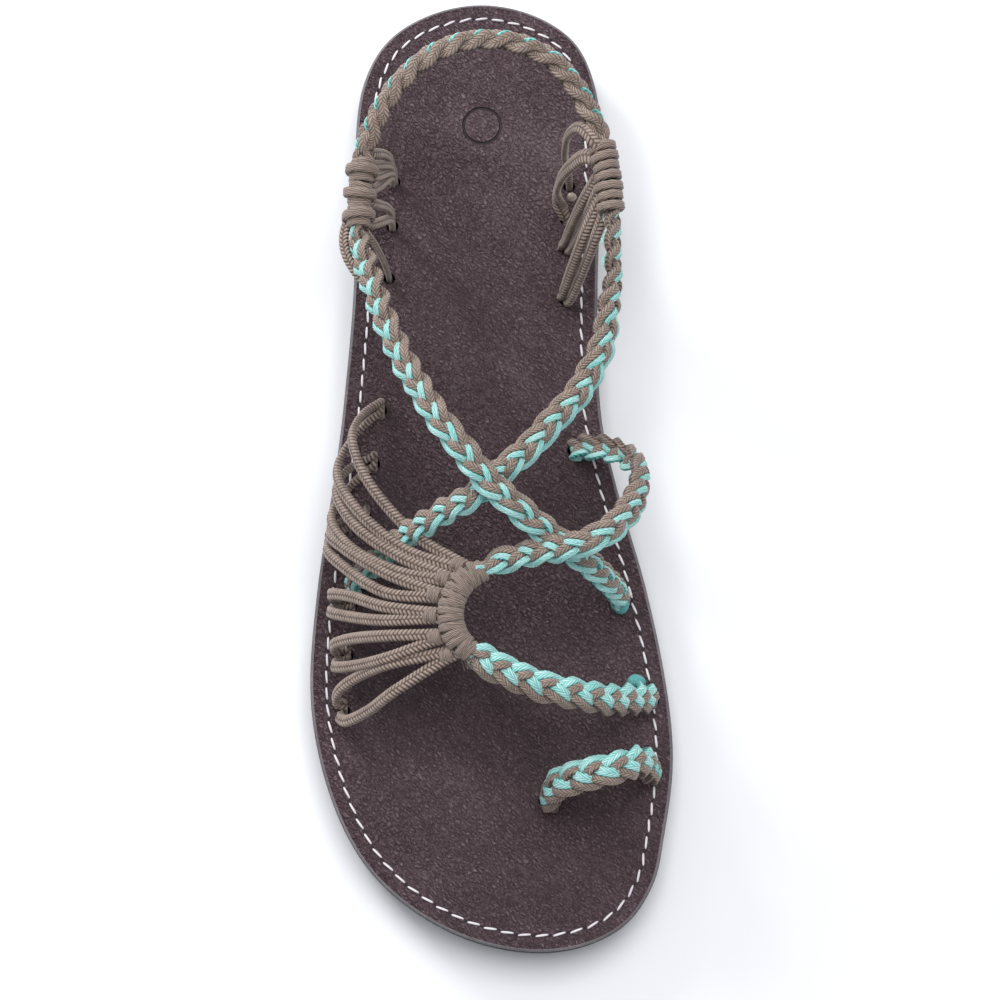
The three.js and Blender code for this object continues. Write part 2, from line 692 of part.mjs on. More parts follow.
// Sole layers, with the tread cut across the heel and the forefoot
const outsoleBlank = soleLayer({
  strips: 1,
  levels: [
    { inset: outsoleLip + outsoleChamfer, share: 0 },
    { inset: outsoleLip, share: 0.3 },
    { inset: outsoleLip, share: 1 },
  ],
  base: (x, y) => underside(y),
  top: (x, y) => outsoleTop(y),
});
const treadZones = [
  { from: 0.05, to: 0.33 },
  { from: 0.58, to: 0.97 },
];
const grooves = treadZones.flatMap(({ from, to }) => {
  const count = Math.floor(((to - from) * soleLength) / grooveGap);
  return Array.from({ length: count + 1 }, (_, i) => {
    const y = (0.5 - from - ((to - from) * i) / count) * soleLength;
    const slope = Math.atan2(underside(y + 1) - underside(y - 1), 2);
    const box = new THREE.BoxGeometry(ballWidth * 1.4, grooveWidth, 2 * treadDepth);
    box.rotateX(slope);
    return box.translate(0, y, underside(y));
  });
});
const outsoleBody = cut(solid(outsoleBlank), grooves);

const midsoleBlank = soleLayer({
  strips: 2,
  levels: [
    { inset: rimOverhang, share: 0 },
    { inset: rimOverhang, share: 0.42 },
    { inset: rimOverhang + sideRibDepth, share: 0.52 },
    { inset: rimOverhang, share: 0.62 },
    { inset: rimOverhang, share: 1 },
  ],
  base: (x, y) => midsoleBase(y),
  top: midsoleTop,
});
const footbedBlank = soleLayer({
  strips: 2,
  levels: [
    { inset: footbedUndercut, share: 0 },
    { inset: 0, share: 0.25 },
    { inset: 0, share: 0.7 },
    { inset: rimRound, share: 1 },
  ],
  base: footbedBase,
  top: footbedTop,
});
const wells = holes.map(({ mouth, radius }) => bore(
  mouth.clone().setZ(mouth.z + overshoot), down, radius, plugDepth + clearance + overshoot,
));

const upperBody = join([
  wrapGeometry, frontGeometry, crossingGeometry, underGeometry, sideLoopGeometry, ...fanGeometries,
]);

const sandal = new THREE.Group();
function addPiece(name, geometry, color, roughness) {
  geometry.computeVertexNormals();
  const material = new THREE.MeshStandardMaterial({ color, roughness, metalness: 0 });
  const mesh = new THREE.Mesh(geometry, material);
  mesh.name = name;
  sandal.add(mesh);
}
addPiece('outsole', toGeometry(outsoleBody), 0x17171a, 0.8);
addPiece('midsole', toGeometry(cut(solid(midsoleBlank), wells)), 0x1d1c20, 0.85);
addPiece('footbed', toGeometry(cut(solid(footbedBlank), wells)), 0x43373c, 0.55);
addPiece('toe_loop', toeLoopGeometry, 0x59bfb4, 0.8);
addPiece('upper', toGeometry(upperBody), 0x76675a, 0.85);
addPiece('heel_strap', heelStrapGeometry, 0x76675a, 0.85);
addPiece('knot_lateral', toGeometry(lateralKnotBody), 0x76675a, 0.85);
addPiece('knot_medial', toGeometry(medialKnotBody), 0x76675a, 0.85);

export default sandal;
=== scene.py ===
import math

import bmesh
import bpy
import numpy as np
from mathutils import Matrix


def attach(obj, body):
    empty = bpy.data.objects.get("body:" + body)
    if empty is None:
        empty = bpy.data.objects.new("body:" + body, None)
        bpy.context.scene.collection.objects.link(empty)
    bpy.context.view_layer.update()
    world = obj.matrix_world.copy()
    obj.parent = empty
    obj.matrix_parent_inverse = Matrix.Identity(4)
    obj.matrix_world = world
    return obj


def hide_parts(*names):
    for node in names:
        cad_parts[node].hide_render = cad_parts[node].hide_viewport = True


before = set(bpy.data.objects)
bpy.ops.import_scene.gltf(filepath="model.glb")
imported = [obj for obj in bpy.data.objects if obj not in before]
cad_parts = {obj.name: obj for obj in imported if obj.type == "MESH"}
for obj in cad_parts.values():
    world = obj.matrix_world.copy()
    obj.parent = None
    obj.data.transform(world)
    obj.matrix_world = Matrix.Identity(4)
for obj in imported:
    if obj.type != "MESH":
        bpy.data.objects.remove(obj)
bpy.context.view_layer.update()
mm = 0.001
fullTurn = 2 * math.pi
dice = np.random.default_rng(11)
print("frame loaded:", sorted(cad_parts))

# The sole, in millimetres: +Y heel, -Y toe, +X big-toe side. Same values as the solids.
sole = {
    "length": 252, "ballWidth": 91.7, "outsoleThickness": 3.2, "midsoleThickness": 6.4,
    "footbedThickness": 2, "toeSpring": 4, "archLift": 1.1, "archSupport": 2, "heelDish": 0.8,
    "gap": 0.3,
}

# along the length, then the lateral and the medial edge as shares of the ball width
outline = [
    (0, -0.029, -0.029), (0.034, -0.282, 0.221), (0.09, -0.37, 0.298), (0.173, -0.392, 0.317),
    (0.311, -0.391, 0.302), (0.445, -0.417, 0.307), (0.524, -0.443, 0.349),
    (0.629, -0.483, 0.43), (0.732, -0.5, 0.485), (0.808, -0.47, 0.5), (0.883, -0.394, 0.473),
    (0.933, -0.295, 0.44), (0.978, -0.12, 0.344), (1, 0.131, 0.131),
]

# along, toe spring, arch, midsole core, heel dish, arch support
spring, arch, core, dish, support = 1, 2, 3, 4, 5  # columns of the profile
profile = [
    (0, 0.12, 0, 1, 0.2, 0), (0.05, 0, 0, 1, 0.8, 0), (0.15, 0, 0, 1, 1, 0),
    (0.3, 0, 0.1, 0.98, 0.6, 0.5), (0.42, 0, 1, 0.86, 0.2, 1), (0.52, 0, 0.7, 0.8, 0.2, 0.7),
    (0.62, 0, 0, 0.72, 0.5, 0.1), (0.74, 0, 0, 0.66, 0.6, 0), (0.86, 0.28, 0, 0.58, 0.4, 0),
    (1, 1, 0, 0.44, 0, 0),
]


def readTable(rows, pick, along):  # a smooth value between the rows of a table
    row = 0
    while row < len(rows) - 2 and along > rows[row + 1][0]:
        row += 1
    before, low, high = rows[max(row - 1, 0)], rows[row], rows[row + 1]
    after = rows[min(row + 2, len(rows) - 1)]
    span = high[0] - low[0]
    share = min(max((along - low[0]) / span, 0), 1)
    slopeLow = span * (high[pick] - before[pick]) / (high[0] - before[0])
    slopeHigh = span * (after[pick] - low[pick]) / (after[0] - low[0])
    square = share * share
    cube = square * share
    return ((2 * cube - 3 * square + 1) * low[pick] + (cube - 2 * square + share) * slopeLow
            + (3 * square - 2 * cube) * high[pick] + (cube - square) * slopeHigh)


# The rim is read by an angle that runs round the sole: 0 is the heel, pi the toe.
rim = [(math.acos(1 - 2 * along), lateral) for along, lateral, _ in outline]
rim += [(fullTurn - math.acos(1 - 2 * along), medial) for along, _, medial in outline[-2:0:-1]]
rimRows = ([(rim[-1][0] - fullTurn, rim[-1][1])] + rim
           + [(fullTurn, rim[0][1]), (fullTurn + rim[1][0], rim[1][1])])
rimReach = [readTable(rimRows, 1, math.pi * i / 24) for i in range(48)]
rimMiddle = (max(rimReach) + min(rimReach)) / 2
rimSpan = max(rimReach) - min(rimReach)


def rimSpot(angle):
    across = (readTable(rimRows, 1, angle) - rimMiddle) / rimSpan * sole["ballWidth"]
    return np.array([across, math.cos(angle) / 2 * sole["length"]])


def rimPoint(angle, inset):
    way = rimSpot(angle + 0.02) - rimSpot(angle - 0.02)
    way /= np.linalg.norm(way)
    return rimSpot(angle) + np.array([-way[1], way[0]]) * inset


def alongOf(y):
    return min(max(0.5 - y / sole["length"], 0), 1)


def underside(y):
    along = alongOf(y)
    return (max(readTable(profile, spring, along), 0) * sole["toeSpring"]
            + max(readTable(profile, arch, along), 0) * sole["archLift"])


def outsoleTop(x, y):
    return underside(y) + sole["outsoleThickness"]


def midsoleTop(x, y):
    along = alongOf(y)
    side = 2 * x / sole["ballWidth"]
    sink = readTable(profile, dish, along) * sole["heelDish"] * (side * side * 4 - 1)
    swell = readTable(profile, support, along) * sole["archSupport"] * max(side, 0) ** 2 * 2
    return (outsoleTop(x, y) + sole["gap"] + min(sink, 0) + swell
            + readTable(profile, core, along) * sole["midsoleThickness"])


def footbedTop(x, y):
    return midsoleTop(x, y) + sole["gap"] + sole["footbedThickness"]


strapPly = 4.2  # how far one strap lies over another


def place(row, rise=0):  # along, across, share of the rise, plies of strap
    along, across, up, ply = (*row, 0, 0)[:4]
    x, y = across * sole["ballWidth"], (0.5 - along) * sole["length"]
    return np.array([x, y, footbedTop(x, y) + up * rise + ply * strapPly])


def linear(code, alpha=1):
    channels = [int(code[i:i + 2], 16) / 255 for i in (1, 3, 5)]
    return (*[c / 12.92 if c <= 0.04045 else ((c + 0.055) / 1.055) ** 2.4 for c in channels], alpha)


def addNode(tree, kind, inputs=(), stops=(), **settings):
    # inputs by place or by name: plain values, or nodes and sockets to link; stops for a ramp
    made = tree.nodes.new("ShaderNode" + kind)
    for name, value in settings.items():
        setattr(made, name, value)
    for key, value in inputs.items() if isinstance(inputs, dict) else enumerate(inputs):
        if isinstance(value, bpy.types.Node):
            value = value.outputs[0]
        if isinstance(value, bpy.types.NodeSocket):
            tree.links.new(value, made.inputs[key])
        else:
            made.inputs[key].default_value = value
    if stops:
        while len(made.color_ramp.elements) < len(stops):
            made.color_ramp.elements.new(0.5)
        for element, (at, code) in zip(made.color_ramp.elements, stops):
            element.position, element.color = at, linear(code)
    return made


def startMaterial(name, **values):
    material = bpy.data.materials.new(name)
    material.use_nodes = True
    shader = material.node_tree.nodes["Principled BSDF"]
    for key, value in values.items():
        shader.inputs[key.replace("_", " ")].default_value = value
    return material, material.node_tree, shader


def finishSurface(tree, shader, colour, height, depth, rough=None):
    bump = addNode(tree, "Bump", {"Strength": 1.0, "Distance": depth * mm, "Height": height})
    for key, made in (("Base Color", colour), ("Normal", bump.outputs[0]), ("Roughness", rough)):
        if made:
            tree.links.new(made, shader.inputs[key])


# Braided polypropylene cord, of flat shiny filaments: two columns of slanted stitches with a
# groove between them, dull on their backs. The stitch height also sets the colour, as painted
# shade between the stitches and in the groove and a painted highlight on the stitch crowns. The
# UV map holds millimetres along the cord and the share of the way round it. Each look has its
# stitch length, how far a stitch leans, its relief, how strong its painted dark lines are and how
# much painted shade darkens the cord's narrow sides, where one cord meets the next.
cordLooks = {
    "plaited": {"pitch": 0.95, "slant": 1.5, "relief": 0.035, "groove": 0.1, "lines": 0.55,
                "rim": 0.42},
    "silky": {"pitch": 1.2, "slant": 2.1, "relief": 0.03, "groove": 0.06, "lines": 0.4,
              "rim": 0.46},
    "loose": {"pitch": 1.1, "slant": 0.75, "relief": 0.09, "groove": 0.2, "lines": 0.9,
              "rim": 0.25},
    "taut": {"pitch": 2.2, "slant": 3.1, "relief": 0.035, "groove": 0.06, "lines": 0.75,
             "rim": 0.3},
}


# millimetres: how far apart the stitches stray, the filaments, drawn coarse because real ones
# are too fine to show, and the patches that have faded
yarnNoise = {"wander": 3.846, "filament": 0.3846, "fade": 11.11}


def braidedCord(name, look, gap, body, crown, tint):
    look = cordLooks[look]
    material, tree, shader = startMaterial(
        name, Roughness=0.62, IOR=1.49, Sheen_Weight=0.2, Sheen_Roughness=0.45)
    uv = addNode(tree, "UVMap", uv_map="yarn")
    travel, turn, _ = addNode(tree, "SeparateXYZ", [uv]).outputs
    at = addNode(tree, "TexCoord").outputs["Object"]
    wander, fibre, fade = [
        addNode(tree, "TexNoise", {"Vector": at, "Scale": 1 / (yarnNoise[size] * mm),
                                   "Detail": detail, "Roughness": rough})
        for size, detail, rough in (("wander", 1, 0.5), ("filament", 2, 0.7), ("fade", 2, 0.5))]
    # which of the two columns, and how far out from the groove between them
    angle = addNode(tree, "Math", [turn, fullTurn], operation="MULTIPLY")
    across = addNode(tree, "Math", [angle], operation="COSINE")
    reach = addNode(tree, "Math", [across], operation="ABSOLUTE")
    right = addNode(tree, "Math", [across, 0], operation="GREATER_THAN")
    phase = addNode(tree, "Math", [travel, 1 / look["pitch"]], operation="MULTIPLY")
    for part, share in ((reach, look["slant"]), (right, 0.5), (wander, 0.35)):
        phase = addNode(tree, "Math", [part, share, phase], operation="MULTIPLY_ADD")
    wave = addNode(tree, "Math", [phase, fullTurn], operation="MULTIPLY")
    wave = addNode(tree, "Math", [wave], operation="SINE")
    stitch = addNode(tree, "Math", [wave, 0.5, 0.5], operation="MULTIPLY_ADD")
    stitch = addNode(tree, "Math", [stitch, 0.55], operation="POWER")
    groove = addNode(tree, "Math", [reach, look["groove"]], operation="DIVIDE", use_clamp=True)
    groove = addNode(tree, "Math", [groove, 0.6, 0.4], operation="MULTIPLY_ADD")
    height = addNode(tree, "Math", [stitch, groove], operation="MULTIPLY")
    # each stitch a little lighter or darker than the next
    count = addNode(tree, "Math", [phase], operation="FLOOR")
    count = addNode(tree, "Math", [right, 57.0, count], operation="MULTIPLY_ADD")
    lot = addNode(tree, "TexWhiteNoise", {"W": count}, noise_dimensions="1D")
    # painted shade: rim darkens the cord's narrow sides, standing in for the shadow where cords
    # meet
    rim = addNode(tree, "MapRange", [reach, 0.72, 1.0, 0.0, look["rim"]],
                  interpolation_type="SMOOTHSTEP")
    shade = addNode(tree, "Math", [height, look["lines"], 0.32 - 0.62 * look["lines"]],
                    operation="MULTIPLY_ADD")
    for part, share in ((lot, 0.2), (fibre, 0.5), (rim, -1)):
        shade = addNode(tree, "Math", [part, share, shade], operation="MULTIPLY_ADD")
    # the ramp paints shade in the grooves (the gap colour) and a highlight on the stitch crowns
    # (the crown colour)
    ramp = addNode(tree, "ValToRGB", [shade], [(0.0, gap), (0.45, body), (1.0, crown)])
    faded = addNode(tree, "Math", [fade, 0.5], operation="MULTIPLY")
    mixed = addNode(tree, "Mix", {0: faded, 6: ramp, 7: linear(tint)}, data_type="RGBA",
                    blend_type="MULTIPLY")
    rough = addNode(tree, "MapRange", {0: fibre, 3: 0.5, 4: 0.8})
    relief = addNode(tree, "Math", [fibre, 0.3, height], operation="MULTIPLY_ADD")
    finishSurface(tree, shader, mixed.outputs[2], relief, 0.13, rough.outputs[0])
    return material


# for each cord: painted shade for the grooves, its own colour, painted highlight for the crowns,
# and the tint of faded patches
brownPlaited = braidedCord("brown plaited polypropylene", "plaited", "#251914", "#746258",
                           "#b3a397", "#cfc5bb")
turquoisePlaited = braidedCord("turquoise plaited polypropylene", "silky", "#0c6462",
                               "#6bcac4", "#ecffff", "#a9dcd6")
brownLoose = braidedCord("brown braided polypropylene", "loose", "#1f1411", "#66544b", "#a8978c",
                         "#cfc5bb")
brownTaut = braidedCord("brown wound polypropylene", "taut", "#2b1f1a", "#73625a", "#ae9d92",
                        "#cfc5bb")


# Embossed and waxed leather: pebbles about 1 mm wide, drawn out along one slant, with painted
# shade darkening the creases between them, painted glints as light specks on some of their tops,
# a soft shine, and a little darker near the ball of the foot, lighter towards heel and toe.
# Lengths are in millimetres, the slant in degrees, and crease, stretch and the threshold of the
# painted glints are shares.
leather = {"pebble": 0.95, "crease": 0.38, "wrinkle": 0.36, "shade": 26.316, "depth": 0.55,
           "speck": 0.4, "paintedGlint": 0.59, "bend": 2.6, "pull": 1.5, "slant": -42, "stretch": 1.9,
           "ballY": -30, "ballToneReach": 110}


def pebbledLeather():
    material, tree, shader = startMaterial(
        "embossed waxed leather", Roughness=0.4, IOR=1.45, Coat_Weight=0.05, Coat_Roughness=0.3)
    whole = addNode(tree, "TexCoord").outputs["Object"]
    at = addNode(tree, "Mapping", {"Vector": whole, "Scale": (leather["stretch"], 1, 1),
                                   "Rotation": (0, 0, math.radians(leather["slant"]))},
                 vector_type="TEXTURE")
    bend, fine, slow, spread = [
        addNode(tree, "TexNoise", {"Vector": at, "Scale": 1 / (leather[size] * mm),
                                   "Detail": detail, "Roughness": rough})
        for size, detail, rough in (("bend", 2, 0.6), ("wrinkle", 3, 0.65), ("shade", 3, 0.6),
                                    ("speck", 1, 0.5))]
    push = addNode(tree, "VectorMath", [bend.outputs["Color"], (-0.5, -0.5, -0.5)],
                   operation="ADD")
    push = addNode(tree, "VectorMath", {0: push, 3: leather["pull"] * mm}, operation="SCALE")
    warped = addNode(tree, "VectorMath", [at, push], operation="ADD")
    cells = addNode(tree, "TexVoronoi", {"Vector": warped, "Scale": 1 / (leather["pebble"] * mm),
                                         "Randomness": 1.0}, feature="DISTANCE_TO_EDGE")
    pebble = addNode(tree, "MapRange", [cells, 0.0, leather["crease"]],
                     interpolation_type="SMOOTHSTEP")
    # painted glints: light specks on some pebble tops, standing in for glints of light
    paintedGlint = addNode(tree, "MapRange", [spread, leather["paintedGlint"], leather["paintedGlint"] + 0.07])
    # a little darker near the ball of the foot, lighter towards heel and toe
    along = addNode(tree, "SeparateXYZ", [whole]).outputs[1]
    fromBall = addNode(tree, "Math", [along, leather["ballY"] * mm], operation="SUBTRACT")
    fromBall = addNode(tree, "Math", [fromBall], operation="ABSOLUTE")
    ballTone = addNode(tree, "MapRange", [fromBall, 0.0, leather["ballToneReach"] * mm, -0.03, 0.04])
    # the tone is lower where pebble is low: painted shade in the creases
    tone = addNode(tree, "Math", [pebble, 0.14, -0.17], operation="MULTIPLY_ADD")
    for part, share in ((slow, 0.5), (fine, 0.5), (paintedGlint, 0.2), (ballTone, 1)):
        tone = addNode(tree, "Math", [part, share, tone], operation="MULTIPLY_ADD")
    ramp = addNode(tree, "ValToRGB", [tone], [(0.0, "#1c0f13"), (0.42, "#442f35"),
                                              (1.0, "#97848a")])
    rough = addNode(tree, "MapRange", [fine, 0.3, 0.7, 0.22, 0.5])
    height = addNode(tree, "Math", [fine, 0.7, pebble], operation="MULTIPLY_ADD")
    finishSurface(tree, shader, ramp.outputs[0], height, leather["depth"], rough.outputs[0])
    return material


patchWidth = 16.667  # mm, of the slow change of tone on rubber, foam and edges


def grainy(name, dark, light, grain, depth, **values):  # a matt surface, grain and depth in mm
    material, tree, shader = startMaterial(name, **values)
    at = addNode(tree, "TexCoord").outputs["Object"]
    fine = addNode(tree, "TexNoise", {"Vector": at, "Scale": 1 / (grain * mm), "Detail": 3,
                                      "Roughness": 0.7})
    slow = addNode(tree, "TexNoise", {"Vector": at, "Scale": 1 / (patchWidth * mm), "Detail": 2})
    tone = addNode(tree, "Math", [fine, 0.6], operation="MULTIPLY")
    tone = addNode(tree, "Math", [slow, 0.5, tone], operation="MULTIPLY_ADD")
    ramp = addNode(tree, "ValToRGB", [tone], [(0.3, dark), (0.85, light)])
    finishSurface(tree, shader, ramp.outputs[0], fine, depth)
    return material


footbedLeather = pebbledLeather()
# die-cut through and left raw: paler than the face, dull and a little ragged
cutEdge = grainy("cut leather edge", "#453f42", "#918b8f", 0.5, 0.15, Roughness=0.7, IOR=1.5)
# closed-cell foam, sliced: soft black with no shine
foamBlack = grainy("black EVA foam", "#141316", "#2b2a2e", 0.6, 0.1, Roughness=0.8, IOR=1.45)
# pressed in a sanded mould: even black with a faint sheen
rubberBlack = grainy("black moulded rubber", "#121214", "#26262a", 0.4, 0.05, Roughness=0.6,
                     IOR=1.52)
# twisted and pulled tight: bright white with a little gloss
stitchThread = grainy("white polyester thread", "#cfc8cf", "#fbf8fa", 0.25, 0.08, Roughness=0.5,
                      IOR=1.55, Sheen_Weight=0.2)
# pierced; each hole is drawn as a flat dark spot, painted shade standing in for the shadow inside
# it
needleMark = grainy("needle hole painted shade", "#0d090b", "#1d1518", 0.3, 0.05, Roughness=0.7,
                    IOR=1.5)
# melted with a flame: the filaments run together, smoother and shinier than the cord
meltedEnd = grainy("heat-sealed cord end", "#7f7368", "#b5a89b", 0.5, 0.08, Roughness=0.35,
                   IOR=1.49)
fusedTurquoise = grainy("heat-sealed turquoise cord", "#1b7a7a", "#82d6d2", 0.6, 0.35,
                        Roughness=0.5, IOR=1.49, Sheen_Weight=0.2)
# the groove of the pressed ring: flat and smoother than the leather round it, and darker, which is
# painted shade in the groove
pressedLeather = grainy("ring groove painted shade", "#1a1114", "#2b1f23", 0.3, 0.05, Roughness=0.45,
                        IOR=1.45)
print("materials ready")


def deselectAll():
    bpy.ops.object.select_all(action="DESELECT")


def choose(*pieces):  # select these and no others, the first one active
    deselectAll()
    for piece in pieces:
        piece.select_set(True)
    bpy.context.view_layer.objects.active = pieces[0]


def finishPiece(piece, nodes=()):
    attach(piece, "root")
    if nodes:
        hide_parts(*nodes)
    return piece


layerGrid = {"columns": 28, "rows": 110, "bevelFrom": 0.7}


def soleLayer(name, materials, levels, base, top):
    # a grid warped to the outline, raised level by level; each level is (inset, height share)
    deselectAll()
    bpy.ops.mesh.primitive_grid_add(x_subdivisions=layerGrid["columns"],
                                    y_subdivisions=layerGrid["rows"], size=1)
    layer = bpy.context.object
    layer.name = layer.data.name = name
    for material in materials:
        layer.data.materials.append(material)
    bpy.ops.object.mode_set(mode="EDIT")
    shape = bmesh.from_edit_mesh(layer.data)
    acrossShare = shape.verts.layers.float.new("acrossShare")
    alongShare = shape.verts.layers.float.new("alongShare")
    for vert in shape.verts:
        vert[acrossShare] = vert.co.x + 0.5
        vert[alongShare] = 0.5 - vert.co.y
    for order, (inset, share) in enumerate(levels):
        if order:
            bpy.ops.mesh.extrude_region_move()
            shape = bmesh.from_edit_mesh(layer.data)
            acrossShare = shape.verts.layers.float["acrossShare"]
            alongShare = shape.verts.layers.float["alongShare"]
        for vert in shape.verts:
            if vert.select:
                angle = math.pi * vert[alongShare]
                lateral = rimPoint(angle, inset)
                x, y = lateral + (rimPoint(fullTurn - angle, inset) - lateral) * vert[acrossShare]
                low = base(x, y)
                vert.co = (x * mm, y * mm, (low + (top(x, y) - low) * share) * mm)
        bmesh.update_edit_mesh(layer.data)
        if not order:
            bpy.ops.mesh.remove_doubles(threshold=1e-6)
    if len(materials) > 1:  # the top, the bevel under it and the wall
        for face in bmesh.from_edit_mesh(layer.data).faces:
            x, y, z = face.calc_center_median() / mm
            share = (z - base(x, y)) / (top(x, y) - base(x, y))
            beveled = share > layerGrid["bevelFrom"]
            face.material_index = 0 if face.select else 1 if beveled else 2
    bpy.ops.mesh.select_all(action="SELECT")
    bpy.ops.mesh.normals_make_consistent(inside=False)
    bpy.ops.object.mode_set(mode="OBJECT")
    return layer


def carve(piece, tool):
    choose(piece)
    step = piece.modifiers.new("carve", "BOOLEAN")
    step.operation, step.object, step.solver = "DIFFERENCE", tool, "EXACT"
    step.use_self = True
    bpy.ops.object.modifier_apply(modifier=step.name)
    bpy.data.objects.remove(tool)


def smoothByAngle(piece, degrees):
    choose(piece)
    bpy.ops.object.shade_smooth_by_angle(angle=math.radians(degrees))


# along, across and radius of each hole in the footbed
strapHoles = {
    "toeInner": (0.847, 0.157, 2.6), "toeOuter": (0.819, 0.441, 2.6), "front": (0.745, 0.436, 2.6),
    "crossing": (0.643, 0.362, 2.5), "under": (0.628, -0.385, 2.5), "side": (0.489, 0.24, 2.5),
}
fanHoles = [(0.446, -0.312), (0.502, -0.331), (0.558, -0.352), (0.647, -0.39), (0.701, -0.4),
            (0.757, -0.408)]
lateralHoles = [(0.198, -0.28), (0.247, -0.284), (0.304, -0.292)]
medialHoles = [(0.203, 0.222), (0.24, 0.212), (0.271, 0.208), (0.326, 0.204)]
cordHole = {"radius": 1.6, "depth": 5.3}


def holeTool():
    spots = [*strapHoles.values()]
    spots += [(*spot, cordHole["radius"]) for spot in fanHoles + lateralHoles + medialHoles]
    drills = []
    for along, across, radius in spots:
        deselectAll()
        bpy.ops.mesh.primitive_cylinder_add(vertices=28, radius=radius * mm,
                                            depth=cordHole["depth"] * 2 * mm,
                                            location=place((along, across)) * mm)
        drills.append(bpy.context.object)
    choose(*drills)
    bpy.ops.object.join()
    return bpy.context.object


layerGap = 0.02  # keeps each layer's underside off the one below
tread = {"depth": 1.3, "width": 2.2, "reach": 130, "gap": 11.5,
         "zones": ((0.05, 0.33), (0.58, 0.97))}
outsole = soleLayer("outsole_rubber", [rubberBlack], [
    (1.45, 0), (0.9, 0.14), (0.55, 0.34), (0.55, 1),
], lambda x, y: underside(y), outsoleTop)
grooves = []
for start, end in tread["zones"]:
    count = math.floor((end - start) * sole["length"] / tread["gap"])
    for i in range(count + 1):
        y = (0.5 - start - (end - start) * i / count) * sole["length"]
        slope = math.atan2(underside(y + 1) - underside(y - 1), 2)
        deselectAll()
        bpy.ops.mesh.primitive_cube_add(size=1, location=(0, y * mm, underside(y) * mm),
                                        rotation=(slope, 0, 0))
        grooves.append(bpy.context.object)
        grooves[-1].scale = (tread["reach"] * mm, tread["width"] * mm, 2 * tread["depth"] * mm)
choose(*grooves)
bpy.ops.object.transform_apply(location=True, rotation=True, scale=True)
bpy.ops.object.join()
carve(outsole, bpy.context.object)
smoothByAngle(outsole, 35)
finishPiece(outsole, ["outsole"])

midsole = soleLayer("midsole_foam", [foamBlack], [
    (0.9, 0), (0.9, 0.4), (1.15, 0.44), (1.35, 0.52), (1.15, 0.6), (0.9, 0.64), (0.9, 1),
], lambda x, y: outsoleTop(x, y) + layerGap, midsoleTop)
carve(midsole, holeTool())
smoothByAngle(midsole, 35)
finishPiece(midsole, ["midsole"])

footbed = soleLayer("footbed_leather", [footbedLeather, cutEdge, foamBlack, pressedLeather], [
    (0.25, 0), (0.05, 0.15), (0, 0.5), (0.12, 0.74), (0.4, 0.92), (0.78, 1),
], lambda x, y: midsoleTop(x, y) + layerGap, footbedTop)
carve(footbed, holeTool())

# the plain ring pressed into the heel
ring = {"x": -2.6, "y": 92.0, "radius": 4.9, "line": 0.4}
deselectAll()
bpy.ops.mesh.primitive_torus_add(
    location=(ring["x"] * mm, ring["y"] * mm, footbedTop(ring["x"], ring["y"]) * mm),
    major_radius=ring["radius"] * mm, minor_radius=ring["line"] * mm,
    major_segments=64, minor_segments=12)
carve(footbed, bpy.context.object)
# faces in the ring's groove take the darker material: painted shade in the groove
for face in footbed.data.polygons:
    x, y, z = face.center / mm
    reach = math.hypot(x - ring["x"], y - ring["y"])
    if abs(reach - ring["radius"]) < ring["line"] and z < footbedTop(x, y) - 0.08:
        face.material_index = 3
smoothByAngle(footbed, 40)
finishPiece(footbed, ["footbed"])
print("sole layers built:", len(footbed.data.polygons), "faces in the footbed")


seam = {"inset": 4.2, "pitch": 4.35, "length": 3.65, "width": 0.6, "height": 0.46, "slant": 7}


def travelOf(path):  # how far along a line each of its points is
    return np.concatenate([[0], np.cumsum(np.linalg.norm(np.diff(path, axis=0), axis=1))])


def pointsAt(path, travel, at):
    return np.stack([np.interp(at, travel, column) for column in path.T], axis=1)


def unit(vectors):
    return vectors / np.maximum(np.linalg.norm(vectors, axis=-1, keepdims=True), 1e-9)


def seamSpots():
    angles = np.linspace(0, fullTurn, 1441)
    line = np.array([rimPoint(angle, seam["inset"]) for angle in angles])
    travel = travelOf(line)
    count = round(travel[-1] / seam["pitch"])
    at = np.arange(count) * travel[-1] / count
    spots = pointsAt(line, travel, at)
    ahead = pointsAt(line, travel, (at + 0.5) % travel[-1])
    return spots, unit(ahead - spots), travel[-1] / count


def repeatShape(name, shape, spots, headings, material):
    # copies of one small modelled shape, laid on the footbed and joined into one piece
    source = np.array([v.co for v in shape.data.vertices]) / mm
    faces = [tuple(p.vertices) for p in shape.data.polygons]
    verts, allFaces = [], []
    for spot, heading in zip(spots, headings):
        turned = source.copy()
        turned[:, 0] = source[:, 0] * heading[0] - source[:, 1] * heading[1] + spot[0]
        turned[:, 1] = source[:, 0] * heading[1] + source[:, 1] * heading[0] + spot[1]
        turned[:, 2] = source[:, 2] + [footbedTop(x, y) for x, y in turned[:, :2]]
        allFaces += [tuple(i + len(verts) * len(source) for i in face) for face in faces]
        verts.append(turned)
    mesh = bpy.data.meshes.new(name)
    mesh.from_pydata((np.concatenate(verts) * mm).tolist(), [], allFaces)
    mesh.materials.append(material)
    mesh.shade_smooth()
    piece = bpy.data.objects.new(name, mesh)
    bpy.context.scene.collection.objects.link(piece)
    bpy.data.objects.remove(shape)
    return piece


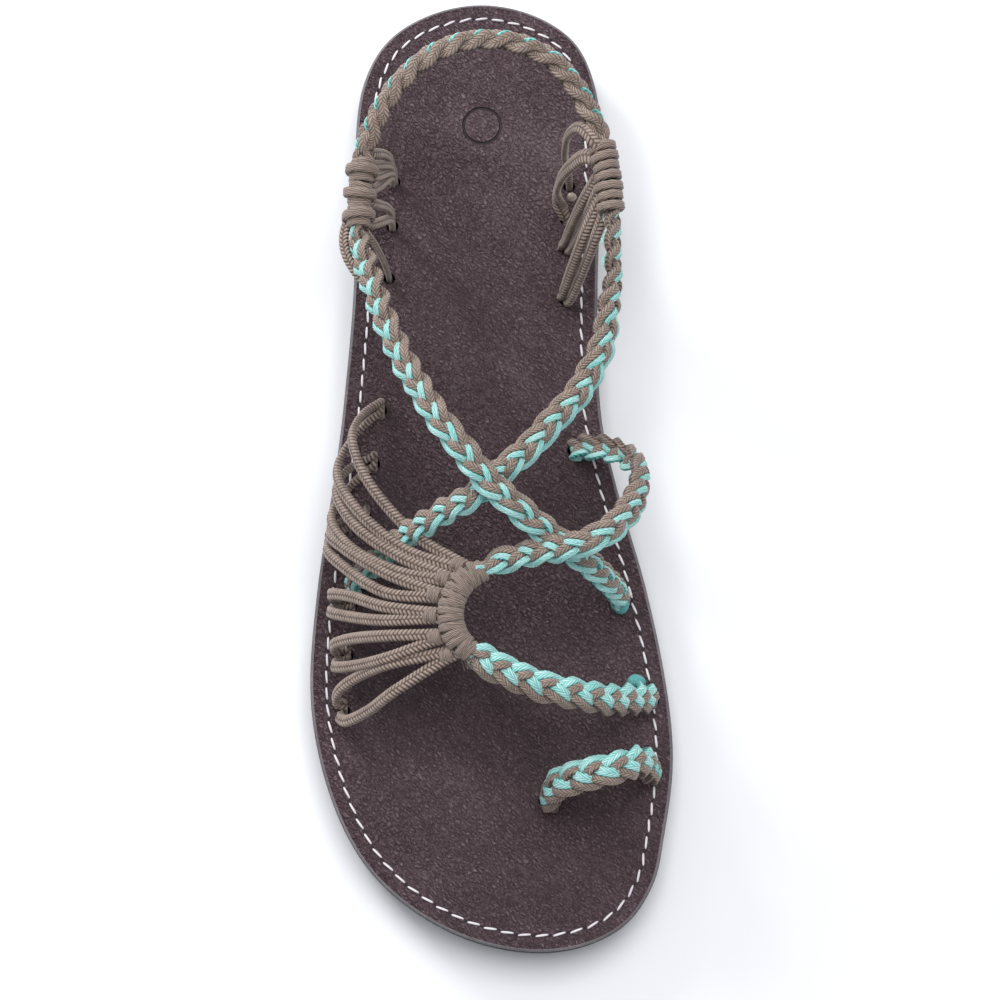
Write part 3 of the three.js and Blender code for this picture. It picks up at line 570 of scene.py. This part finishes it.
spots, ways, seamStep = seamSpots()
deselectAll()
bpy.ops.mesh.primitive_uv_sphere_add(segments=10, ring_count=7, radius=1,
                                     rotation=(0, math.pi / 2, 0))
stitch = bpy.context.object
bpy.ops.object.transform_apply(rotation=True)
for vert in stitch.data.vertices:
    x, y, z = vert.co
    body = (1 - abs(x) ** 3.2) ** 0.5 / max((1 - x * x) ** 0.5, 0.05) if abs(x) < 0.999 else 0
    vert.co = (x * seam["length"] / 2 * mm, y * body * seam["width"] / 2 * mm,
               (z * body * seam["height"] / 2 + 0.12 - 0.42 * abs(x) ** 5) * mm)
slanted = []
for way in ways:
    lean = math.radians(seam["slant"] + dice.normal(0, 2.5))
    slanted.append((way[0] * math.cos(lean) - way[1] * math.sin(lean),
                    way[0] * math.sin(lean) + way[1] * math.cos(lean)))
stitches = repeatShape("footbed_stitches", stitch, spots, slanted, stitchThread)
finishPiece(stitches)

# flat dark rings on the leather beside each stitch: painted shade for the needle holes
needle = {"ring": 0.18, "line": 0.11, "long": 1.5, "flat": 0.35}
deselectAll()
bpy.ops.mesh.primitive_torus_add(major_radius=needle["ring"] * mm, major_segments=10,
                                 minor_radius=needle["line"] * mm, minor_segments=5)
mark = bpy.context.object
for vert in mark.data.vertices:
    vert.co.x *= needle["long"]
    vert.co.z *= needle["flat"]
marks = repeatShape("needle_holes", mark, spots + ways * seamStep / 2, ways, needleMark)
finishPiece(marks)
print("seam laid:", len(spots), "stitches")


def smoothPath(points, step):  # a centripetal curve through the points, in even steps
    points = [np.asarray(p, float) for p in points]
    whole = [2 * points[0] - points[1], *points, 2 * points[-1] - points[-2]]
    dense = []
    for a, b, c, d in zip(whole, whole[1:], whole[2:], whole[3:]):
        first, middle, last = (max(np.linalg.norm(q - p), 1e-4) ** 0.5
                               for p, q in ((a, b), (b, c), (c, d)))
        startWay = ((b - a) / first - (c - a) / (first + middle) + (c - b) / middle) * middle
        endWay = ((c - b) / middle - (d - b) / (middle + last) + (d - c) / last) * middle
        t = np.linspace(0, 1, 60, endpoint=False)[:, None]
        dense.append((2 * t ** 3 - 3 * t ** 2 + 1) * b + (t ** 3 - 2 * t ** 2 + t) * startWay
                     + (3 * t ** 2 - 2 * t ** 3) * c + (t ** 3 - t ** 2) * endWay)
    dense = np.concatenate([*dense, [points[-1]]])
    travel = travelOf(dense)
    return pointsAt(dense, travel, np.linspace(0, travel[-1], max(round(travel[-1] / step), 4) + 1))


def awayFrom(path, across, up, rise):  # directions away from a line inside the foot
    hub = np.array([(across * sole["ballWidth"], y, footbedTop(x, y) + up * rise)
                    for x, y, _ in path])
    return path - hub


def smoothstep(value, low, high):
    share = np.clip((value - low) / (high - low), 0, 1)
    return share * share * (3 - 2 * share)


def frameOf(path, facing, closed=False):  # the way along, outwards and sideways at each point
    ends = np.roll(path, -1, 0) - np.roll(path, 1, 0) if closed else np.gradient(path, axis=0)
    way = unit(ends)
    out = unit(facing - np.sum(facing * way, axis=1, keepdims=True) * way)
    return way, out, np.cross(way, out)


cordSection = {"groove": 0.2, "fullness": 0.82}


def cordRun(path, facing, wide, deep, look, around, closed=False):
    # one flat braided cord along a path, its broad face towards facing
    look = cordLooks[look]
    start = dice.uniform(0, 40)
    count = len(path)
    way, out, side = frameOf(path, facing, closed)
    wide = np.broadcast_to(wide, count)[:, None] / 2
    deep = np.broadcast_to(deep, count)[:, None] / 2
    travel = travelOf(path)
    total = travel[-1] + (np.linalg.norm(path[0] - path[-1]) if closed else 0)
    angle = fullTurn * np.arange(around) / around
    cosine, sine = np.cos(angle)[None], np.sin(angle)[None]
    full = cordSection["fullness"]
    x = np.sign(cosine) * np.abs(cosine) ** full * wide
    y = (np.sign(sine) * np.abs(sine) ** full * deep
         * (1 - cordSection["groove"] * np.exp(-(cosine / 0.3) ** 2)))
    phase = ((travel[:, None] + start) / look["pitch"] + look["slant"] * np.abs(cosine)
             + 0.5 * (cosine > 0))
    relief = look["relief"] * np.sin(fullTurn * phase)
    leanX, leanY = cosine / wide, sine / deep
    lean = np.sqrt(leanX ** 2 + leanY ** 2)
    x = x + relief * leanX / lean
    y = y + relief * leanY / lean
    verts = (path[:, None] + side[:, None] * x[..., None] + out[:, None] * y[..., None])
    ringOf = np.arange(count if closed else count - 1)[:, None]
    spokes = np.arange(around)[None]
    nextRing, nextSpoke = (ringOf + 1) % count, (spokes + 1) % around
    quads = np.stack([ringOf * around + spokes, nextRing * around + spokes,
                      nextRing * around + nextSpoke, ringOf * around + nextSpoke], axis=-1)
    u = np.append(travel, total) + start
    u0, u1, v0 = np.broadcast_arrays(u[ringOf], u[ringOf + 1], spokes / around)
    v1 = v0 + 1 / around
    uvs = np.stack([u0, v0, u1, v0, u1, v1, u0, v1], axis=-1)
    caps = []
    if not closed:
        caps = [list(range(around)), [(count - 1) * around + i for i in reversed(range(around))]]
    return {"verts": verts.reshape(-1, 3), "quads": quads.reshape(-1, 4),
            "uvs": uvs.reshape(-1, 2), "caps": caps}


def cordPiece(name, runs, material, nodes):
    verts, loops, sizes, uvs, offset = [], [], [], [], 0
    for run in runs:
        verts.append(run["verts"])
        loops.append((run["quads"] + offset).ravel())
        sizes.append(np.full(len(run["quads"]), 4))
        uvs.append(run["uvs"])
        for cap in run["caps"]:
            loops.append(np.array(cap) + offset)
            sizes.append(np.array([len(cap)]))
            uvs.append(np.tile([0.0, 0.25], (len(cap), 1)))
        offset += len(run["verts"])
    verts, loops, sizes, uvs = (np.concatenate(x) for x in (verts, loops, sizes, uvs))
    mesh = bpy.data.meshes.new(name)
    mesh.vertices.add(len(verts))
    mesh.vertices.foreach_set("co", (verts * mm).ravel())
    mesh.loops.add(len(loops))
    mesh.loops.foreach_set("vertex_index", loops)
    mesh.polygons.add(len(sizes))
    mesh.polygons.foreach_set("loop_start", np.concatenate([[0], np.cumsum(sizes)[:-1]]))
    mesh.polygons.foreach_set("loop_total", sizes)
    mesh.update(calc_edges=True)
    mesh.uv_layers.new(name="yarn").data.foreach_set("uv", uvs.ravel())
    mesh.materials.append(material)
    mesh.shade_smooth()
    mesh.validate()
    piece = bpy.data.objects.new(name, mesh)
    bpy.context.scene.collection.objects.link(piece)
    print("cord piece", name, sum(n - 2 for n in sizes), "triangles")
    return finishPiece(piece, nodes)


def intoHole(hole):  # straight down through the leather
    along, across = hole[:2]
    mouth = place((along, across))
    return [mouth + [0, 0, 2.5], mouth, mouth - [0, 0, 5]]


# A three-strand plait. Each strand is a brown and a turquoise cord that lie side by side and
# never turn over, so one colour always has the same edge. swing and the widths of the cords are
# shares of the strap's width.
plaitShape = {"step": 0.26, "around": 12, "plug": 5, "neckRun": 3.5, "swing": 0.243,
              "closeness": 0.9, "lift": 1.25, "deep": 1.8, "roll": 0.5, "turned": 0.16}
mostlyBrown = {"brown": 0.298, "turquoise": 0.226}
mostlyTurquoise = {"brown": 0.248, "turquoise": 0.284}
edgewiseBrown = {"brown": 0.36, "turquoise": 0.17}


def unevenly(travel, size, often):  # hand-made work is never quite even
    return size * np.sin(travel * often + dice.uniform(0, 6))


def plaitRuns(spec):
    spec = {**plaitShape, **spec}
    path = smoothPath([*spec["start"], *routeOf(spec["rows"], spec["rise"]), *spec["end"]],
                      spec["step"])
    travel = travelOf(path)
    facing = spec["facing"](path) if "facing" in spec else awayFrom(path, *spec["hub"],
                                                                    rises[spec["rise"]])
    way, out, side = frameOf(path, facing)
    grip = np.ones(len(path))
    for distance, neck in zip((travel, travel[-1] - travel), spec["necks"]):
        grip *= neck + (1 - neck) * smoothstep(distance, spec["plug"] - 1,
                                               spec["plug"] + spec["neckRun"])
    swing = spec["width"] * spec["swing"] * grip
    half = sum(spec["cords"].values()) / 2
    beat = travel / spec["pitch"] + unevenly(travel, 0.018, 0.21) + unevenly(travel, 0.012, 0.53)
    runs = {"brown": [], "turquoise": []}
    for order in range(3):
        theta = fullTurn * (beat + order / 3)
        across = swing * np.sin(theta) + unevenly(travel, 0.12, 0.37)
        lift = spec["over"] * spec["lift"] * np.sin(2 * theta)
        strand = path + side * across[:, None] + out * lift[:, None]
        face = out + side * (spec["roll"] * np.sin(theta))[:, None]
        aside = unit(np.cross(unit(np.gradient(strand, axis=0)), face))
        for colour, look, edge, deep in (("brown", "plaited", spec["brownEdge"], 1),
                                         ("turquoise", "silky", -spec["brownEdge"], 0.9)):
            share = spec["cords"][colour]
            size = spec["width"] * share * grip ** 0.6 * dice.uniform(0.97, 1.03)
            apart = spec["width"] * (half - share / 2) * spec["closeness"] * grip
            middle = (strand + aside * (edge * apart)[:, None]
                      + out * unevenly(travel, 0.08, 0.6)[:, None])
            runs[colour].append(cordRun(middle, face + aside * spec["turned"] * edge, size,
                                        spec["deep"] * deep, look, spec["around"]))
    return runs


def facingAnkle(path):  # near its knot the strap's broad face looks sideways
    away = awayFrom(path, 0, 0.12, rises["instep"])
    away[:, 2] *= 1 - 1.1 * smoothstep(path[:, 1], 14, 42)
    return away


def facingHeel(path):  # outwards and a little up, so that the brown edge is inside
    flat = path - [-0.02 * sole["ballWidth"], 0.25 * sole["length"], 0]
    flat[:, 2] = 0.3 * np.linalg.norm(flat[:, :2], axis=1)
    return flat


rises = {"toeLoop": 21, "instep": 48, "ankle": 44}


def routeOf(rows, rise):
    return [place(row, rises[rise]) for row in rows]


wrapRoute = routeOf(((0.643, -0.02, 0.735), (0.652, -0.066, 0.735), (0.67, -0.1, 0.725),
                     (0.69, -0.108, 0.715), (0.709, -0.092, 0.705), (0.724, -0.05, 0.69)),
                    "instep")
lateralKnotRoute = routeOf(((0.221, -0.354, 0.75), (0.25, -0.362, 0.72), (0.291, -0.367, 0.705)),
                           "ankle")
medialKnotRoute = routeOf(((0.208, 0.303, 0.805), (0.24, 0.318, 0.805), (0.281, 0.328, 0.805)),
                          "ankle")
knotSocket = {"depth": 3.0, "run": 2.5}


def socket(face, inner):  # a strap's end inside a knot, from the knot's end and next point
    inward = unit(inner - face)
    return [face + inward * knotSocket["depth"], face - inward * knotSocket["run"]]


# over is 1 where the plait's points look back to the strap's start, brownEdge the side that the
# brown cords keep to, and hub (across, share of the rise) what the broad face looks away from
straps = {
    "toe_loop": {
        "width": 9, "pitch": 19, "over": 1, "brownEdge": 1, "necks": (0.7, 0.7),
        "cords": mostlyTurquoise, "node": "toe_loop", "rise": "toeLoop", "hub": (0.3, 0.3),
        "start": intoHole(strapHoles["toeInner"])[::-1], "end": intoHole(strapHoles["toeOuter"]),
        "rows": ((0.84, 0.175, 0.66), (0.836, 0.225, 0.9), (0.832, 0.291, 1),
                 (0.825, 0.359, 0.93), (0.817, 0.41, 0.68)),
    },
    "front_strap": {
        "width": 9, "pitch": 19.4, "over": 1, "brownEdge": 1, "necks": (0.42, 0.7),
        "cords": mostlyTurquoise, "node": "upper", "rise": "instep", "hub": (0.05, 0.08),
        "start": [wrapRoute[-2]], "end": intoHole(strapHoles["front"]),
        "rows": ((0.731, -0.016, 0.685), (0.742, 0.05, 0.66), (0.753, 0.144, 0.6),
                 (0.758, 0.238, 0.52), (0.758, 0.33, 0.38), (0.752, 0.4, 0.2)),
    },
    "long_strap": {
        "width": 7.6, "pitch": 19.7, "over": -1, "brownEdge": -1, "necks": (0.58, 0.8),
        "cords": mostlyBrown, "node": "upper", "rise": "instep", "hub": (0, 0.12),
        "start": socket(*lateralKnotRoute[:-3:-1]), "end": intoHole(strapHoles["crossing"]),
        "rows": ((0.363, -0.322, 0.77), (0.408, -0.279, 0.83), (0.454, -0.221, 0.9),
                 (0.498, -0.152, 0.95, 0.2), (0.537, -0.075, 0.97, 0.4),
                 (0.571, 0.002, 0.965, 0.42), (0.594, 0.079, 0.945, 0.1),
                 (0.613, 0.159, 0.88, -0.42), (0.628, 0.237, 0.75, -0.45),
                 (0.638, 0.305, 0.49), (0.642, 0.348, 0.21)),
    },
    "under_strap": {
        "width": 7.6, "pitch": 18.5, "over": 1, "brownEdge": 1, "necks": (0.58, 0.8),
        "cords": mostlyBrown, "node": "upper", "rise": "instep", "facing": facingAnkle,
        "start": socket(*medialKnotRoute[:-3:-1]), "end": intoHole(strapHoles["under"]),
        "rows": ((0.323, 0.328, 0.79), (0.364, 0.329, 0.83), (0.405, 0.314, 0.87),
                 (0.442, 0.288, 0.9), (0.477, 0.234, 0.925), (0.508, 0.162, 0.94),
                 (0.536, 0.088, 0.955, -0.2), (0.56, 0.01, 0.965, -0.42),
                 (0.577, -0.056, 0.9, -0.3), (0.588, -0.137, 0.76), (0.6, -0.222, 0.6),
                 (0.613, -0.3, 0.38), (0.624, -0.36, 0.17)),
    },
    "side_loop": {
        "width": 7.6, "pitch": 20.5, "over": -1, "brownEdge": -1, "necks": (0.48, 0.8),
        "cords": mostlyBrown, "node": "upper", "rise": "instep", "hub": (0.08, 0.46),
        "start": [wrapRoute[1]], "end": intoHole(strapHoles["side"]),
        "rows": ((0.636, 0.021, 0.765), (0.631, 0.13, 0.86, 0.2), (0.629, 0.22, 0.92, 0.5),
                 (0.619, 0.298, 0.95, 0.3), (0.6, 0.35, 0.9), (0.582, 0.381, 0.8),
                 (0.556, 0.402, 0.64), (0.532, 0.402, 0.48), (0.511, 0.372, 0.33),
                 (0.497, 0.313, 0.2)),
    },
    "heel_strap": {
        "width": 7.6, "pitch": 18.5, "over": -1, "brownEdge": 1, "necks": (0.58, 0.58),
        "cords": edgewiseBrown, "node": "heel_strap", "rise": "ankle", "facing": facingHeel,
        "deep": 2.7, "turned": 1.8, "start": socket(*lateralKnotRoute[:2]),
        "end": socket(*medialKnotRoute[:2])[::-1],
        "rows": ((0.191, -0.329, 0.8), (0.16, -0.279, 0.87), (0.132, -0.202, 0.94),
                 (0.114, -0.108, 0.985), (0.109, -0.009, 1), (0.115, 0.095, 0.985),
                 (0.133, 0.183, 0.94), (0.158, 0.24, 0.88), (0.185, 0.282, 0.83)),
    },
}
for name, spec in straps.items():
    runs = plaitRuns(spec)
    cordPiece(name + "_brown", runs["brown"], brownPlaited, [spec["node"]])
    cordPiece(name + "_turquoise", runs["turquoise"], turquoisePlaited, [spec["node"]])
print("plaits woven")


fan = {"wide": 2.9, "deep": 1.9, "step": 0.24, "around": 16, "hubShare": 0.35, "hubDrop": 12,
       "collarAt": 5.0}


def fanOut(path):  # the broad face looks up and away from the foot's middle
    return np.stack([path[:, 0] * (1 - fan["hubShare"]), np.zeros(len(path)),
                     np.full(len(path), fan["hubDrop"])], axis=1)


# the hole, then crest, calf, knee and turn-in of each cord: along, across, share of the rise
fanCords = [
    (0, (0.603, -0.208, 0.62), (0.539, -0.343, 0.46), (0.49, -0.385, 0.33), (0.458, -0.356, 0.17)),
    (0, (0.618, -0.233, 0.61), (0.567, -0.375, 0.44), (0.524, -0.427, 0.28), (0.481, -0.384, 0.15)),
    (1, (0.625, -0.246, 0.6), (0.583, -0.378, 0.42), (0.542, -0.429, 0.27), (0.513, -0.394, 0.13)),
    (1, (0.639, -0.257, 0.6), (0.607, -0.386, 0.42), (0.57, -0.443, 0.25), (0.535, -0.402, 0.12)),
    (2, (0.643, -0.273, 0.59), (0.609, -0.397, 0.4), (0.584, -0.449, 0.23), (0.565, -0.405, 0.1)),
    (2, (0.661, -0.278, 0.59), (0.627, -0.399, 0.39), (0.599, -0.454, 0.23), (0.576, -0.414, 0.1)),
    (3, (0.674, -0.286, 0.58), (0.655, -0.385, 0.38), (0.646, -0.442, 0.21), (0.645, -0.424, 0.09)),
    (3, (0.687, -0.286, 0.57), (0.675, -0.385, 0.36), (0.663, -0.444, 0.19), (0.655, -0.425, 0.08)),
    (4, (0.702, -0.285, 0.56), (0.697, -0.384, 0.35), (0.697, -0.434, 0.19), (0.699, -0.425, 0.08)),
    (4, (0.723, -0.277, 0.55), (0.723, -0.371, 0.33), (0.718, -0.43, 0.17), (0.709, -0.424, 0.08)),
    (5, (0.729, -0.272, 0.54), (0.734, -0.362, 0.33), (0.744, -0.42, 0.18), (0.752, -0.426, 0.08)),
    (5, (0.755, -0.258, 0.52), (0.768, -0.337, 0.3), (0.772, -0.4, 0.14), (0.765, -0.418, 0.07)),
]


def coreOf(route):  # the middle line of a winding, with its frame at each point
    path = smoothPath(route, 0.05)
    return path, *frameOf(path, awayFrom(path, 0, 0, 0))


def coreAt(core, share):
    index = int(share * (len(core[0]) - 1))
    return [rows[index] for rows in core]


wrapCore = coreOf(wrapRoute)
fanRuns, collars = [], []
for pair in range(len(fanCords) // 2):
    middle = coreAt(wrapCore, (pair + 0.5) / (len(fanCords) // 2))[0]
    crests = routeOf([fanCords[2 * pair + k][1] for k in (0, 1)], "instep")
    heading = unit((crests[0] + crests[1]) / 2 - middle)
    across = unit(crests[1] - crests[0] - heading * np.dot(crests[1] - crests[0], heading))
    collar = middle + heading * fan["collarAt"]
    collars.append((collar, heading, unit(np.cross(across, heading)), across))
    for k in (0, 1):
        hole, *bends = fanCords[2 * pair + k]
        aside = np.array([0, (0.45 - 0.9 * k) * fan["wide"], 0])
        points = [middle + across * (k - 0.5), collar + across * (1.5 * k - 0.75),
                  *routeOf(bends, "instep"),
                  *[point + aside * (1, 0.9, 1) for point in intoHole(fanHoles[hole])]]
        path = smoothPath(points, fan["step"])
        fanRuns.append(cordRun(path, fanOut(path), fan["wide"] * dice.uniform(0.97, 1.03),
                               fan["deep"], "loose", fan["around"]))
cordPiece("fan_cords", fanRuns, brownLoose, ["upper"])

turn = {"step": 0.26, "around": 12}


def ringRun(middle, way, out, side, radii, section, tilt=0.0, sway=0.0):
    # a closed turn of cord round a core; radii sideways and outwards, section wide and deep
    count = max(round(math.pi * sum(radii) / turn["step"]), 20)
    angle = fullTurn * np.arange(count) / count
    cosine, sine = np.cos(angle)[:, None], np.sin(angle)[:, None]
    path = (middle + side * cosine * radii[0] + out * sine * radii[1]
            + way * (tilt * cosine + sway * sine))
    radial = side * cosine * radii[1] + out * sine * radii[0]
    return cordRun(path, radial, *section, "taut", turn["around"], closed=True)


# the crescent tapers to its ends; its collars are two turns round each pair of fan cords
crescent = {"turns": 14, "size": (7.0, 5.8), "inset": 0.8, "section": (2.2, 1.5), "taper": 0.18,
            "tilt": 0.25, "collarTurns": ((-0.75, 1.45), (0.85, 1.3)), "collarSection": (2.0, 1.3)}
crescentRuns = []
for order in range(crescent["turns"]):
    share = (order + 0.5) / crescent["turns"]
    taper = 1 - crescent["taper"] * (2 * share - 1) ** 4
    radii = [size / 2 * taper - crescent["inset"] for size in crescent["size"]]
    crescentRuns.append(ringRun(
        *coreAt(wrapCore, share), radii, crescent["section"],
        tilt=crescent["tilt"] * (-1) ** order, sway=dice.uniform(-0.15, 0.15)))
for collar, heading, out, across in collars:
    for shift, radius in crescent["collarTurns"]:
        crescentRuns.append(ringRun(
            collar + heading * shift, heading, out, across, (radius, radius - 0.2),
            crescent["collarSection"], tilt=dice.uniform(-0.3, 0.3)))
cordPiece("crescent_wrap", crescentRuns, brownTaut, ["upper"])


def stayRun(rows, ending, section, facing, pinch=1.0):
    # a loose cord from the knot along its rows, then through the points of its ending
    path = smoothPath([*routeOf(rows, "ankle"), *ending], fan["step"])
    travel = travelOf(path)
    wide = section[0] * (pinch + (1 - pinch) * smoothstep(travel[-1] - travel, 5.5, 11))
    return cordRun(path, np.tile(np.array(facing, float), (len(path), 1)), wide, section[1],
                   "loose", around=14)


def sharedHole(hole, aside):  # several cords go down one hole side by side
    return [point + np.array([*aside, 0.0]) for point in intoHole(hole)[1:]]


# Each lobe is three turns, the middle one widest. The stays are the cords that come out of the
# knot and go down through the footbed.
lateralKnot = {"lobes": 3, "turns": ((-0.33, 2.15), (-0.02, 3.45), (0.31, 2.3)),
               "section": (2.6, 1.9), "stay": (2.5, 1.7), "thinStay": (1.7, 1.3),
               "looseEnd": (2.5, 1.8), "facing": (0.35, -0.1, 1)}
lateralStays = [  # hole, shift in it, rows
    (0, (-0.6, 0.9), [(0.214, -0.35, 0.7), (0.209, -0.328, 0.66), (0.194, -0.29, 0.36)]),
    (0, (0.2, 0.4), [(0.222, -0.35, 0.69), (0.218, -0.328, 0.61), (0.199, -0.285, 0.28)]),
    (0, (0.2, -0.3), [(0.232, -0.352, 0.69), (0.23, -0.328, 0.6), (0.203, -0.284, 0.24)]),
    (0, (-0.4, -0.9), [(0.241, -0.352, 0.68), (0.242, -0.33, 0.59), (0.208, -0.287, 0.24)]),
    (1, (0, 0.5), [(0.26, -0.352, 0.68), (0.26, -0.33, 0.64), (0.248, -0.288, 0.32)]),
    (1, (0, -0.6), [(0.28, -0.355, 0.68), (0.28, -0.334, 0.6), (0.256, -0.288, 0.27)]),
]
knotCore = coreOf(lateralKnotRoute)
turns, stays = [], []
for lobe in range(lateralKnot["lobes"]):
    for shift, radius in lateralKnot["turns"]:
        turns.append(ringRun(
            *coreAt(knotCore, (lobe + 0.5 + shift) / lateralKnot["lobes"]), (radius, radius),
            lateralKnot["section"], tilt=0.45 * (-1) ** lobe, sway=dice.uniform(-0.3, 0.3)))
for hole, aside, rows in lateralStays:
    stays.append(stayRun(rows, sharedHole(lateralHoles[hole], aside), lateralKnot["stay"],
                         lateralKnot["facing"], pinch=0.6))
stays.append(stayRun([(0.293, -0.345, 0.68), (0.299, -0.327, 0.6), (0.304, -0.302, 0.32)],
                     sharedHole(lateralHoles[2], (0, 0)), lateralKnot["thinStay"],
                     lateralKnot["facing"]))
stays.append(stayRun([(0.27, -0.37, 0.7), (0.284, -0.396, 0.7), (0.303, -0.406, 0.7),
                      (0.32, -0.397, 0.71), (0.338, -0.371, 0.73), (0.35, -0.345, 0.74)], [],
                     lateralKnot["looseEnd"], (-0.4, 0, 1)))
cordPiece("knot_lateral_turns", turns, brownTaut, ["knot_lateral"])
cordPiece("knot_lateral_stays", stays, brownLoose, ["knot_lateral"])

medialKnot = {"radius": 2.75, "swell": 0.06, "turns": 7, "section": (2.35, 1.9),
              "stayDeep": 1.9, "tilt": 0.35, "facing": (-0.4, 0.1, 1)}
knotCore = coreOf(medialKnotRoute)
turns, stays = [], []
for order in range(medialKnot["turns"]):
    radius = medialKnot["radius"] * (1 + medialKnot["swell"] * math.sin(order * 2.1))
    turns.append(ringRun(
        *coreAt(knotCore, (order + 0.5) / medialKnot["turns"]), (radius, radius),
        medialKnot["section"], tilt=medialKnot["tilt"], sway=dice.uniform(-0.2, 0.2)))

medialStays = [  # hole, shift in it, width, rows
    (0, (0, 0), 3.1, [(0.222, 0.31, 0.83), (0.209, 0.279, 0.87), (0.192, 0.246, 0.82),
                      (0.188, 0.217, 0.68), (0.19, 0.206, 0.45), (0.194, 0.212, 0.2)]),
    (1, (0, 0), 4.2, [(0.229, 0.312, 0.82), (0.219, 0.262, 0.77), (0.219, 0.22, 0.61),
                      (0.22, 0.194, 0.41), (0.222, 0.187, 0.2), (0.229, 0.195, 0.08)]),
    (2, (-0.9, 0.6), 3.1, [(0.23, 0.312, 0.8), (0.252, 0.259, 0.6), (0.263, 0.226, 0.32),
                           (0.269, 0.207, 0.09)]),
    (2, (0.9, -0.8), 3.1, [(0.24, 0.316, 0.8), (0.26, 0.28, 0.64), (0.271, 0.25, 0.35),
                           (0.277, 0.223, 0.09)]),
    (2, (0.3, 0.9), 2.3, [(0.236, 0.314, 0.77), (0.245, 0.28, 0.62), (0.252, 0.248, 0.42),
                          (0.26, 0.226, 0.18)]),
    (3, (-0.8, 0.5), 3.1, [(0.255, 0.314, 0.8), (0.289, 0.261, 0.62), (0.312, 0.225, 0.35),
                           (0.326, 0.2, 0.09)]),
    (3, (0.9, -0.7), 3.1, [(0.266, 0.324, 0.8), (0.294, 0.292, 0.68), (0.318, 0.254, 0.38),
                           (0.334, 0.219, 0.09)]),
]
for hole, aside, wide, rows in medialStays:
    stays.append(stayRun(rows, sharedHole(medialHoles[hole], aside),
                         (wide, medialKnot["stayDeep"]), medialKnot["facing"], pinch=0.7))
cordPiece("knot_medial_turns", turns, brownTaut, ["knot_medial"])
cordPiece("knot_medial_stays", stays, brownLoose, ["knot_medial"])


def lump(name, row, size, roughness, material, nodes):  # a rounded, uneven blob
    x, y, z = place(row, rises["ankle"])
    deselectAll()
    bpy.ops.mesh.primitive_uv_sphere_add(segments=32, ring_count=20, radius=0.5 * mm)
    blob = bpy.context.object
    blob.name = blob.data.name = name
    waves = dice.uniform(-1, 1, (5, 3)) * 2.4
    for vert in blob.data.vertices:
        point = np.array(vert.co) / mm
        ripple = sum(math.sin(np.dot(wave, point) * 3 + k) for k, wave in enumerate(waves))
        point = point * size * (1 + roughness * ripple)
        vert.co = tuple((point + (x, y, z)) * mm)
    blob.data.materials.append(material)
    blob.data.shade_smooth()
    return finishPiece(blob, nodes)


lump("knot_cord_end", (0.221, 0.228, 0.1), (2.5, 2.3, 2.0), 0.03, meltedEnd, ["knot_medial"])
lump("long_strap_end", (0.649, 0.357, 0.045), (5.2, 4.8, 4.4), 0.035, fusedTurquoise, ["upper"])
lump("front_strap_end", (0.73, 0.399, 0.08), (4.6, 3.6, 4.2), 0.035, fusedTurquoise, ["upper"])
print("knots tied")

# loose threads where the front strap comes out of the crescent
fray = {"threads": 22, "thickness": 0.24, "length": (2.5, 5.0), "spread": 0.8}
threads = {"turquoise": [], "brown": []}
for order in range(fray["threads"]):
    start = place((0.722, -0.06, 0.685), rises["instep"]) + dice.uniform(-1, 1, 3) * (2.2, 1.2, 1.0)
    heading = unit(np.array([0.4, -1.0, -0.3]) + dice.normal(0, 0.3, 3))
    curl = dice.normal(0, fray["spread"], 3)
    reach = dice.uniform(*fray["length"])
    points = [start, start + heading * reach * 0.5 + curl * 0.3, start + heading * reach + curl]
    path = smoothPath(points, 0.3)
    threads["turquoise" if order % 3 else "brown"].append(cordRun(
        path, np.tile([0.0, 0.0, 1.0], (len(path), 1)), fray["thickness"], fray["thickness"],
        "plaited", around=6))
cordPiece("frayed_turquoise", threads["turquoise"], turquoisePlaited, [])
cordPiece("frayed_brown", threads["brown"], brownPlaited, [])

deselectAll()
bpy.ops.mesh.primitive_plane_add(size=4, location=(0, 0, -0.0005))
floor = bpy.context.object
floor.name = "floor"
floorPaper, tree, shader = startMaterial("white backdrop paper", Roughness=0.9)
shader.inputs["Base Color"].default_value = linear("#f7f8fb")
floor.data.materials.append(floorPaper)

# a large softbox overhead and a small low light that rakes over the leather's grain
lights = {
    "softbox": {"energy": 10.5, "size": 0.9, "location": (0.1, 0.22, 1.2), "turn": (-10, 5, 0)},
    "lowLight": {"energy": 5, "size": 0.3, "location": (-0.55, 0.65, 0.42),
                 "turn": (63.7445, 0, -139.7636)},
}
room = {"colour": "#f4f6fb", "strength": 0.48}
for name, spec in lights.items():
    deselectAll()
    bpy.ops.object.light_add(type="AREA", location=spec["location"],
                             rotation=[math.radians(degrees) for degrees in spec["turn"]])
    lamp = bpy.context.object
    lamp.name, lamp.data.energy, lamp.data.size = name, spec["energy"], spec["size"]
world = bpy.data.worlds.new("bright studio")
world.use_nodes = True
world.node_tree.nodes["Background"].inputs[0].default_value = linear(room["colour"])
world.node_tree.nodes["Background"].inputs[1].default_value = room["strength"]
bpy.context.scene.world = world
bpy.context.scene.view_settings.view_transform = "Standard"

view = {"location": (0.00215, -0.21530, 0.83475), "tilt": 14, "lens": 118.877, "sensor": 36}
deselectAll()
bpy.ops.object.camera_add(location=view["location"], rotation=(math.radians(view["tilt"]), 0, 0))
camera = bpy.context.object
camera.data.lens, camera.data.sensor_width = view["lens"], view["sensor"]
bpy.context.scene.camera = camera
